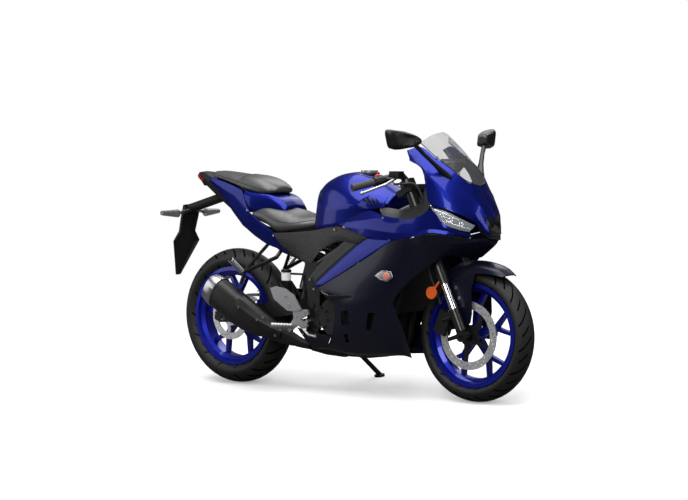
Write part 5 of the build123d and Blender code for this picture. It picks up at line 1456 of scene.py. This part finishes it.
MOUTH = Skin("nose_mouth", (
    ((1450, 61, 815), (1461.5, 38, 806), (1474, 0, 800)),
    ((1470, 44, 784), (1473, 30, 785), (1476, 0, 786)),
    ((1477.5, 44, 733), (1480, 25, 733), (1481, 0, 733)),
), Finishes.BLACK_GLOSS, outward=(1.0, 0.3, 0.0), wall=1.5, edge=0.4)


class Lamps:
    """Headlamps, turn signals, tail lamp and the black mouth between the headlamps."""

    POD = ((984, 546), (1026, 571), (1078, 567), (1088, 541), (1056, 521), (1014, 527))
    CORE = ((1034, 548), (1044, 562), (1066, 560), (1072, 544), (1058, 530), (1040, 533))
    COVER = ((998, 546), (1027, 566), (1075, 562), (1083, 541), (1055, 526), (1016, 532))

    def headlamps(self) -> None:
        """Clear lens over a black bowl with bright reflectors."""
        lens = merge("headlamp_lenses", LENS.pair())
        dress(lens, Finishes.LENS, Body.CHASSIS, 40.0)
        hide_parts("front_lamps")
        dress(merge("headlamp_bowls", BOWL.pair()), Finishes.BLACK_GLOSS, Body.CHASSIS, 40.0)
        shapes = []
        for side in Side:
            for x, w, z, radius in ((1317, 178, 818, 9), (1352, 160, 800, 11), (1388, 134, 778, 11)):
                start = mm(x - 7, side.value * (w - 9), z)
                axis = Vector((0.86, side.value * 0.5, -0.1))
                shapes.append(turned("reflector", start, axis,
                                     [(0.0, radius * 0.3 * MILLIMETRE), (0.004, radius * 0.9 * MILLIMETRE),
                                      (0.010, radius * MILLIMETRE), (0.011, radius * 0.86 * MILLIMETRE),
                                      (0.006, radius * 0.5 * MILLIMETRE)], 24))
            for low, high in (((1288, 186, 838), (1338, 172, 822)), ((1338, 172, 822), (1388, 142, 795)),
                              ((1344, 176, 790), (1392, 146, 768)), ((1392, 142, 768), (1420, 104, 756))):
                first = mm(low[0] - 4, side.value * (low[1] - 5), low[2])
                last = mm(high[0] - 4, side.value * (high[1] - 5), high[2])
                shapes.append(rod("reflector_bar", first, last, 0.0045, 0.0035, 12))
        dress(merge("headlamp_reflectors", shapes), Finishes.CHROME, Body.CHASSIS, 40.0)

    def turn_signals(self) -> None:
        """Teardrop lamps on the flanks, each a pod, an amber core and a clear cover."""
        pods = []
        cores = []
        covers = []
        for side in Side:
            y = side.value
            pods.append(slab("pod", self.POD, y * 218, y * 222.5, 0.002))
            cores.append(slab("core", self.CORE, y * 222, y * 226, 0.0015))
            covers.append(slab("cover", self.COVER, y * 222, y * 231, 0.004))
        dress(merge("signal_pods", pods), Finishes.STEEL, Body.CHASSIS)
        dress(merge("signal_cores", cores), Finishes.AMBER, Body.CHASSIS)
        dress(merge("signal_covers", covers), Finishes.LENS, Body.CHASSIS)

    def tail_lamp(self) -> None:
        """Red lens round the tail's tip."""
        rings = ((-247, ((0, 954), (15, 955), (19, 966), (15, 973), (0, 974))),
                 (-215, ((0, 936), (27, 938), (34, 953), (30, 969), (0, 970))),
                 (-187, ((0, 916), (39, 918), (49, 940), (45, 963), (0, 965))))
        lens = hull("tail_lens", rings, 3, (1, 3), edge=0.001)
        dress(lens, Finishes.RED, Body.CHASSIS, 35.0)

    def build(self) -> None:
        """Builds every lamp."""
        self.headlamps()
        dress(merge("nose_mouth", MOUTH.pair()), Finishes.BLACK_GLOSS, Body.CHASSIS)
        self.turn_signals()
        self.tail_lamp()


class Screen:
    """Wind screen with its screws and the trim down its sides and round its foot."""

    TRIM = ((1145, 103, 1128), (1236, 105, 1064), (1312, 97, 1016), (1368, 72, 966), (1391, 34, 948),
            (1394, 2, 942))

    def build(self) -> None:
        """Builds the screen."""
        shell = merge("screen_shell", SCREEN.pair())
        dress(shell, Finishes.SCREEN, Body.CHASSIS, 50.0)
        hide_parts("windscreen")
        screws = []
        for side in Side:
            seat = mm(1240, side.value * 107, 1063)
            axis = Vector((0.4, side.value * 0.7, 0.6))
            screws.append(bolt("screen_screw", seat, axis, 0.007, 0.004))
            screws.append(bolt("screen_screw", mm(1344, side.value * 87, 995), axis, 0.006, 0.003))
        dress(merge("screen_screws", screws), Finishes.BLACK_GLOSS, Body.CHASSIS)
        trims = []
        for side in Side:
            points = [mm(x, side.value * w, z) for x, w, z in self.TRIM]
            trims.append(tube("trim", smooth_line(points, 4), 0.0022, 3))
        dress(merge("screen_trims", trims), Finishes.BLACK_SATIN, Body.CHASSIS, 60.0)


class Mirrors:
    """Mirror heads with their glass, on bent stalks.

    CORNERS are the (Y, Z) corners of a head's outline. DEPTHS are its rings: X, the outline's share in Y and
    in Z, and a shift in Y. STALK has the rings of the stalk: X, Y, Z and two half widths. All lengths are in
    millimetres.
    """

    CORNERS = ((236, 1114), (240, 1138), (246, 1158), (270, 1170), (300, 1178), (346, 1183), (384, 1184),
               (390, 1172), (384, 1142), (372, 1108), (350, 1101), (330, 1098), (282, 1104))
    DEPTHS = ((1204, 0.985, 0.97, 2), (1206, 1.0, 1.0, 0), (1222, 0.99, 0.98, 2), (1238, 0.9, 0.84, 22),
              (1250, 0.72, 0.6, 66), (1256, 0.4, 0.26, 140))
    STALK = ((1306, 118, 980, 26, 13), (1296, 132, 998, 22, 10), (1276, 168, 1034, 13, 8),
             (1250, 214, 1080, 11, 8), (1236, 246, 1112, 12, 9), (1228, 268, 1132, 15, 11))

    def head(self, side: Side) -> bpy.types.Object:
        """Moulded back of one mirror, deepest near its stalk."""
        rings = []
        for x, wide, tall, shift in self.DEPTHS:
            ring = [mm(x + (240 - y) * 0.2, side.value * (y * wide + shift), 1140 + (z - 1140) * tall)
                    for y, z in self.CORNERS]
            rings.append(smooth_line(ring, 3, closed=True))
        return loft("mirror_head", rings)

    def glass(self, side: Side) -> bpy.types.Object:
        """Mirror glass set in one head."""
        rings = []
        for x in (1203.4, 1202.6):
            ring = [mm(x + (240 - y) * 0.2, side.value * ((y - 312) * 0.9 + 312), 1140 + (z - 1140) * 0.86)
                    for y, z in self.CORNERS]
            rings.append(smooth_line(ring, 3, closed=True))
        return loft("mirror_pane", rings)

    def stalk(self, side: Side) -> bpy.types.Object:
        """Flat bent stalk of one mirror."""
        rings = []
        for x, y, z, wide, tall in self.STALK:
            ring = []
            for number in range(16):
                turn = 2 * math.pi * number / 16
                ring.append(mm(x + wide * math.cos(turn), side.value * (y - tall * 0.7 * math.sin(turn)),
                               z + tall * 0.7 * math.sin(turn)))
            rings.append(ring)
        return loft("mirror_stalk", rings)

    def build(self) -> None:
        """Builds both mirrors."""
        black = merge("mirror_bodies", [part(side) for side in Side for part in (self.head, self.stalk)])
        dress(black, Finishes.BLACK_SATIN, Body.CHASSIS, 50.0)
        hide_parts("mirrors")
        dress(merge("mirror_glasses", [self.glass(side) for side in Side]), Finishes.MIRROR, Body.CHASSIS)


# ---------------------------------------------------------------- exhaust, front guard, plates of painted shade and small parts
SILENCER_RINGS = (
    (-20, 172, 455, 60, 46), (24, 172, 430, 69, 51), (170, 172, 347, 70, 51), (262, 166, 300, 58, 46),
    (350, 156, 268, 38, 36), (398, 147, 251, 27, 27),
)
CAP_RINGS = (
    (-26, 172, 459, 50, 37), (-27, 172, 459.5, 58, 44), (-22, 172, 456.5, 65.5, 51.5),
    (24, 172, 430, 74.5, 56.5), (27, 172, 428.4, 73, 55),
)


def squared_ring(centre: Vector, along: Vector, tall: float, wide: float, corners: int = 40) -> list[Vector]:
    """Rounded ring about a centre, square to a direction in the side plane.

    Args:
        centre: middle of the ring in metres.
        along: direction through the ring.
        tall: half height in millimetres.
        wide: half width in millimetres.
        corners: points round it.

    Returns:
        The ring's points.
    """
    axis = along.normalized()
    across = Vector((0.0, 1.0, 0.0))
    up = across.cross(axis)
    ring = []
    for number in range(corners):
        turn = 2 * math.pi * number / corners
        c = math.cos(turn)
        s = math.sin(turn)
        bulge = (abs(c) ** 2.6 + abs(s) ** 2.6) ** (-1 / 2.6)
        ring.append(centre + (across * wide * c + up * tall * s) * bulge * MILLIMETRE)
    return ring


def sleeve(name: str, rows: Sequence[Sequence[float]], extra: float, steps: int) -> bpy.types.Object:
    """Smooth sleeve along rows of (x, distance to the right, z, half height, half width).

    Args:
        name: name of the piece.
        rows: the rows, in millimetres.
        extra: millimetres added to both halves.
        steps: parts between two rows.

    Returns:
        The new mesh object.
    """
    centres = [mm(x, -w, z) for x, w, z, _, _ in rows]
    rings = []
    for number, row in enumerate(rows):
        run = centres[min(number + 1, len(rows) - 1)] - centres[max(number - 1, 0)]
        rings.append(squared_ring(centres[number], Vector((run.x, 0, run.z)), row[3] + extra, row[4] + extra))
    columns = [smooth_line([ring[number] for ring in rings], steps) for number in range(len(rings[0]))]
    return loft(name, [[column[number] for column in columns] for number in range(len(columns[0]))])


class Exhaust:
    """Smooth silencer body, its brushed end cap with the outlet, and the screws of its shields."""

    def build(self) -> None:
        """Builds the exhaust's pieces."""
        body = sleeve("silencer_body", SILENCER_RINGS, 1.0, 6)
        dress(body, Finishes.EXHAUST, Body.CHASSIS, 40.0)
        cap = sleeve("silencer_cap", CAP_RINGS, 0.0, 1)
        hole = rod("outlet_room", mm(-60, -172, 478), mm(0, -172, 446), 0.019, vertices=32)
        cut(cap, [hole])
        soften(cap, 0.0015, 2, 35.0)
        dress(cap, Finishes.STEEL, Body.CHASSIS, 35.0)
        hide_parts("silencer_covers")
        outlet = turned("silencer_outlet", mm(-34, -172, 463), mm(1, 0, -0.58), [
            (0.0, 0.0185), (0.0, 0.0225), (0.03, 0.0225), (0.03, 0.0185), (0.031, 0.004)], 32)
        dress(outlet, Finishes.STEEL, Body.CHASSIS, 35.0)
        screws = [bolt("shield_screw", mm(x, -y, z), Vector((0.0, -1.0, 0.1)), 0.0055, 0.004)
                  for x, y, z in ((216, 229, 410), (196, 229, 372), (300, 221, 318), (392, 201, 250),
                                  (330, 212, 330), (596, 163, 262), (520, 157, 262))]
        dress(merge("shield_screws", screws), Finishes.CHAIN, Body.CHASSIS)


class FrontGuard:
    """Smooth guard over the front tyre with its cheeks and screws."""

    ROWS = (
        ((1552, 52, 553), (1562, 36, 557), (1569, 0, 560)),
        ((1506, 65, 561), (1512, 54, 582), (1516, 0, 594)),
        ((1446, 70, 563), (1446, 60, 597), (1446, 0, 613)),
        ((1374, 71, 558), (1376, 61, 601), (1376, 0, 617)),
        ((1314, 70, 546), (1310, 60, 588), (1306, 0, 606)),
        ((1270, 68, 534), (1264, 58, 558), (1250, 0, 578)),
    )
    CHEEK = ((1277, 541), (1263, 527), (1300, 470), (1340, 396), (1357, 362), (1381, 330), (1399, 352),
             (1406, 392), (1401, 494), (1424, 562), (1380, 562), (1318, 550))

    def build(self) -> None:
        """Builds the guard."""
        rows = []
        for row in self.ROWS:
            right = [mm(x, -w, z) for x, w, z in row]
            left = [mm(x, w, z) for x, w, z in reversed(row[:-1])]
            rows.append(right + left)
        grid = smooth_grid(rows, 5, 5)
        shell = panel("front_guard", grid, Vector((0, 0, 1)), 0.003, 0.0012)
        pieces = [shell]
        for side in Side:
            pieces.append(slab("guard_cheek", self.CHEEK, side.value * 70, side.value * 76, 0.002))
        guard = merge("front_guard", pieces)
        dress(guard, Finishes.NAVY, Body.STEERING, 30.0)
        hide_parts("front_mudguard")
        screws = [bolt("guard_screw", mm(x, side.value * 76, z), Vector((0, side.value, 0)), 0.007, 0.004)
                  for side in Side for x, z in ((1322, 500), (1340, 455))]
        dress(merge("guard_screws", screws), Finishes.ALLOY, Body.STEERING)


@dataclass(frozen=True)
class Screws:
    """Row of equal button-head screws on both sides or one."""

    name: str
    body: Body
    slot: str
    finish: Finish
    radius: float
    height: float
    spots: tuple[Point, ...]
    sides: tuple[Side, ...] = (Side.RIGHT, Side.LEFT)

    def build(self) -> None:
        """Builds the screws."""
        heads = [bolt(self.name, mm(x, side.value * w, z), Vector((0.0, side.value, 0.0)),
                      self.radius * MILLIMETRE, self.height * MILLIMETRE)
                 for side in self.sides for x, w, z in self.spots]
        dress(merge(self.name, heads), self.finish, self.body)


SCREWS = (
    Screws("heel_guard_screws", Body.CHASSIS, "bare_alloy", Finishes.ALLOY, 9, 5,
           ((432, 176, 428), (452, 176, 388))),
    Screws("footrest_screws", Body.CHASSIS, "bare_alloy", Finishes.ALLOY, 7, 4,
           ((492, 170.7, 342), (546, 170.7, 362), (546, 170.7, 296), (462, 170.7, 292))),
    Screws("fairing_screws", Body.CHASSIS, "body_blue", Finishes.STEEL, 5, 2.5,
           ((150, 116.5, 812), (1012, 197, 799), (566, 164, 510), (700, 152, 738), (612, 191, 470),
            (318, 126, 700))),
    Screws("belly_screws", Body.CHASSIS, "body_navy", Finishes.STEEL, 5, 3,
           ((650, 178, 300), (560, 150, 262)), (Side.RIGHT,)),
    Screws("case_screws", Body.CHASSIS, "engine_black", Finishes.ENGINE, 6, 5,
           ((640, 178, 388), (668, 178, 372), (676, 178, 336), (660, 178, 304), (634, 178, 300))),
)


def ribbed(count: int, pitch: float, radius: float, bottom: float) -> list[tuple[float, float]]:
    """Profile of a peg's grooves.

    Args:
        count: number of grooves.
        pitch: metres from one groove to the next.
        radius: radius of the peg in metres.
        bottom: radius at the foot of a groove.

    Returns:
        (distance along the peg, radius) of each corner.
    """
    profile = []
    for number in range(count):
        base = 0.012 + number * pitch
        profile += [(base, radius), (base + 0.002, bottom), (base + 0.005, bottom), (base + 0.007, radius)]
    return profile


def bar_point(share: float, side: Side) -> Vector:
    """Point on a handlebar, 0 at its root and 1 at the grip's end."""
    root = mm(1052, side.value * 118, 986)
    end = mm(956, side.value * 340, 931)
    return root.lerp(end, share)


class Trim:
    """Small parts on and behind the panels: fins, louvres, pegs, cup, switch, nuts, plates of painted shade
    and screws.
    """

    FIN = ((672, 470), (690, 458), (722, 449), (800, 452), (892, 455), (884, 443), (820, 438), (752, 434),
           (704, 440), (684, 452))
    # outline in the side view of the plates of painted shade behind the frame's rails
    SHADE_PLATE = ((462, 520), (500, 566), (560, 590), (636, 560), (650, 440), (610, 330), (548, 300), (520, 420),
             (476, 470))

    def fins(self) -> None:
        """Black fin on each flank."""
        fins = [slab("flank_fin", self.FIN, side.value * 208, side.value * 219, 0.0035) for side in Side]
        dress(merge("flank_fins", fins), Finishes.BLACK_GLOSS, Body.CHASSIS, 35.0)

    def louvres(self) -> None:
        """Raised black slats beside the tank's front."""
        slats = []
        for side in Side:
            for number in range(4):
                start = mm(884 + number * 20, side.value * (166 - number * 2), 884 - number * 1)
                end = mm(914 + number * 18, side.value * (163 - number * 2), 852 + number * 1)
                slats.append(rod("louvre", start, end, 0.0036, 0.003, 10))
        dress(merge("tank_louvres", slats), Finishes.BLACK_SATIN, Body.CHASSIS, 60.0)

    def pegs(self) -> None:
        """Bright grooved pegs: the passenger's, folded up, and the rider's."""
        pegs = []
        for side in Side:
            folded = [(0.0, 0.0105), (0.004, 0.0135), *ribbed(7, 0.012, 0.0135, 0.0118),
                      (0.1, 0.0135), (0.1015, 0.012)]
            pegs.append(turned("passenger_peg", mm(150, side.value * 150, 528), mm(0, side.value * 82, 62),
                               folded, 24))
            lowered = [(0.0, 0.011), (0.002, 0.0128), *ribbed(6, 0.013, 0.0128, 0.0114),
                       (0.094, 0.0128), (0.096, 0.011)]
            pegs.append(turned("rider_peg", mm(462, side.value * 166, 296), mm(-62, side.value * 72, 4),
                               lowered, 24))
        dress(merge("footrest_pegs", pegs), Finishes.ALLOY, Body.CHASSIS, 30.0)

    def reservoir(self) -> None:
        """Pale cup and black cap of the rear brake's fluid."""
        cup = turned("rear_fluid_cup", mm(416, -150, 497), Vector((0, 0, 1)), [
            (0.0, 0.017), (0.003, 0.0216), (0.038, 0.0222), (0.040, 0.0218)], 32)
        dress(cup, Finishes.RESERVOIR, Body.CHASSIS, 35.0)
        cap = turned("rear_fluid_cap", mm(416, -150, 536.5), Vector((0, 0, 1)), [
            (0.0, 0.0216), (0.001, 0.0238), (0.011, 0.0238), (0.013, 0.0222), (0.0135, 0.018)], 32)
        dress(cap, Finishes.BLACK_SATIN, Body.CHASSIS, 35.0)

    def stop_switch(self) -> None:
        """Red stop switch on the right bar housing."""
        grip = bar_point(0.47, Side.RIGHT)
        red = slab("stop_switch", ((-8, -3), (8, -3), (9, 3), (5, 7), (-5, 7), (-9, 3)), -9, 9, 0.0015)
        red.location = grip + mm(-2, 0, 23)
        pick(red)
        bpy.ops.object.transform_apply(location=True, rotation=True, scale=True)
        dress(red, Finishes.RED_SWITCH, Body.STEERING, 35.0)

    def filler(self) -> None:
        """Base ring under the filler cap with its six screws."""
        base = turned("filler_base", mm(780, 0, 974), Vector((0, 0, 1)), [
            (0.0, 0.047), (0.0155, 0.047), (0.018, 0.0445), (0.018, 0.03)], 64)
        dress(base, Finishes.BLACK_SATIN, Body.CHASSIS, 30.0)
        screws = []
        for number in range(6):
            turn = 2 * math.pi * number / 6
            seat = mm(780 + 42 * math.cos(turn), 42 * math.sin(turn), 992)
            screws.append(bolt("filler_screw", seat, Vector((0, 0, 1)), 0.003, 0.002))
        dress(merge("filler_screws", screws), Finishes.ALLOY, Body.CHASSIS)

    def painted_shade_backing(self) -> None:
        """Flat dark plates behind the frame's rails, over the swingarm's root: painted shade in the gap
        there.
        """
        shade_plates = [slab("frame_guard", self.SHADE_PLATE, side.value * 92, side.value * 96, 0.002) for side in Side]
        dress(merge("frame_guards", shade_plates), Finishes.BLACK_MATT, Body.CHASSIS)

    def axle_nuts(self) -> None:
        """Nuts and washers of the rear axle, with the chain adjusters' screws."""
        pieces = []
        for side in Side:
            axis = Vector((0, side.value, 0))
            seat = mm(0, side.value * 118.2, 314)
            y = side.value * 105
            pieces.append(turned("axle_washer", seat, axis, [
                (0, 0.012), (0.0002, 0.0175), (0.0026, 0.0175), (0.003, 0.012)], 32))
            pieces.append(turned("axle_nut", seat + axis * 0.003, axis, [
                (0, 0.0135), (0.0092, 0.0135), (0.0105, 0.0115), (0.0105, 0.006)], 6))
            pieces.append(rod("adjuster_screw", mm(-40, y, 314), mm(-62, y, 312), 0.004, vertices=12))
            pieces.append(rod("adjuster_nut", mm(-44, y, 313.6), mm(-50, y, 313), 0.0075, vertices=6))
        dress(merge("rear_axle_nuts", pieces), Finishes.ALLOY, Body.CHASSIS, 30.0)

    def build(self) -> None:
        """Builds all the trim."""
        self.fins()
        self.louvres()
        self.pegs()
        self.reservoir()
        self.stop_switch()
        self.axle_nuts()
        self.filler()
        self.painted_shade_backing()
        for screws in SCREWS:
            screws.build()


# ---------------------------------------------------------------- the whole machine
ASSEMBLIES = (Bodywork(), Seats(), Wheels(), Lamps(), Screen(), Mirrors(), Exhaust(), FrontGuard(), Trim())


NODE_FINISHES: dict[str, Finish] = {
    "main_frame": Finishes.FRAME, "seat_subframe": Finishes.FRAME, "engine": Finishes.ENGINE,
    "radiator": Finishes.BLACK_MATT, "exhaust": Finishes.EXHAUST, "silencer_shield": Finishes.BLACK_SATIN,
    "pillion_hangers": Finishes.FRAME, "silencer_covers": Finishes.STEEL,
    "swingarm": Finishes.FRAME, "shock_absorber": Finishes.SPRING, "drive_chain": Finishes.CHAIN,
    "rear_hugger": Finishes.BLACK_MATT, "rear_brake": Finishes.BLACK_SATIN, "fuel_tank": Finishes.BLUE,
    "tank_side_panels": Finishes.BLUE, "side_covers": Finishes.WEAVE, "rider_seat": Finishes.SEAT,
    "pillion_seat": Finishes.SEAT, "tail_cowls": Finishes.BLUE, "tail_hump": Finishes.BLUE,
    "tail_centre": Finishes.BLACK_MATT, "rear_lamps": Finishes.SMOKED, "plate_hanger": Finishes.BLACK_MATT,
    "nose_cowl": Finishes.BLUE, "front_lamps": Finishes.LENS, "nose_intake": Finishes.BLACK_MATT,
    "windscreen": Finishes.SCREEN, "cockpit_panels": Finishes.BLACK_MATT,
    "instrument_panel": Finishes.BLACK_SATIN,
    "upper_fairings": Finishes.BLUE, "fairing_blades": Finishes.BLUE, "inner_fairings": Finishes.BLACK_MATT,
    "lower_fairings": Finishes.NAVY, "chin_fairings": Finishes.NAVY, "mirrors": Finishes.BLACK_SATIN,
    "footrests": Finishes.ALLOY, "fuel_cap": Finishes.ALLOY, "triple_clamps": Finishes.FRAME,
    "fork_legs": Finishes.FRAME, "fork_stanchions": Finishes.CHROME, "handlebars": Finishes.FRAME,
    "grips": Finishes.RUBBER, "hand_controls": Finishes.BLACK_SATIN, "hand_levers": Finishes.ALLOY,
    "front_mudguard": Finishes.NAVY, "front_brake": Finishes.BLACK_SATIN, "front_hose": Finishes.RUBBER,
    "fork_reflectors": Finishes.AMBER, "front_rim": Finishes.WHEEL_BLUE, "front_tyre": Finishes.TYRE,
    "front_disc": Finishes.DISC, "front_disc_carrier": Finishes.FRAME, "rear_rim": Finishes.WHEEL_BLUE,
    "rear_tyre": Finishes.TYRE, "rear_disc": Finishes.DISC, "rear_sprocket": Finishes.STEEL,
    "side_stand": Finishes.FRAME,
}


def dress_frame() -> None:
    """Gives every node of the frame its finish, also where a new piece then stands for the node."""
    for node, finish in NODE_FINISHES.items():
        cover(node, finish)


def main() -> None:
    """Builds the studio, then each sub-assembly in order."""
    logging.basicConfig(level=logging.INFO, format="%(name)s: %(message)s")
    Studio().build()
    dress_frame()
    for assembly in ASSEMBLIES:
        LOG.info("%s", type(assembly).__name__)
        assembly.build()


if __name__ == "__main__":
    main()
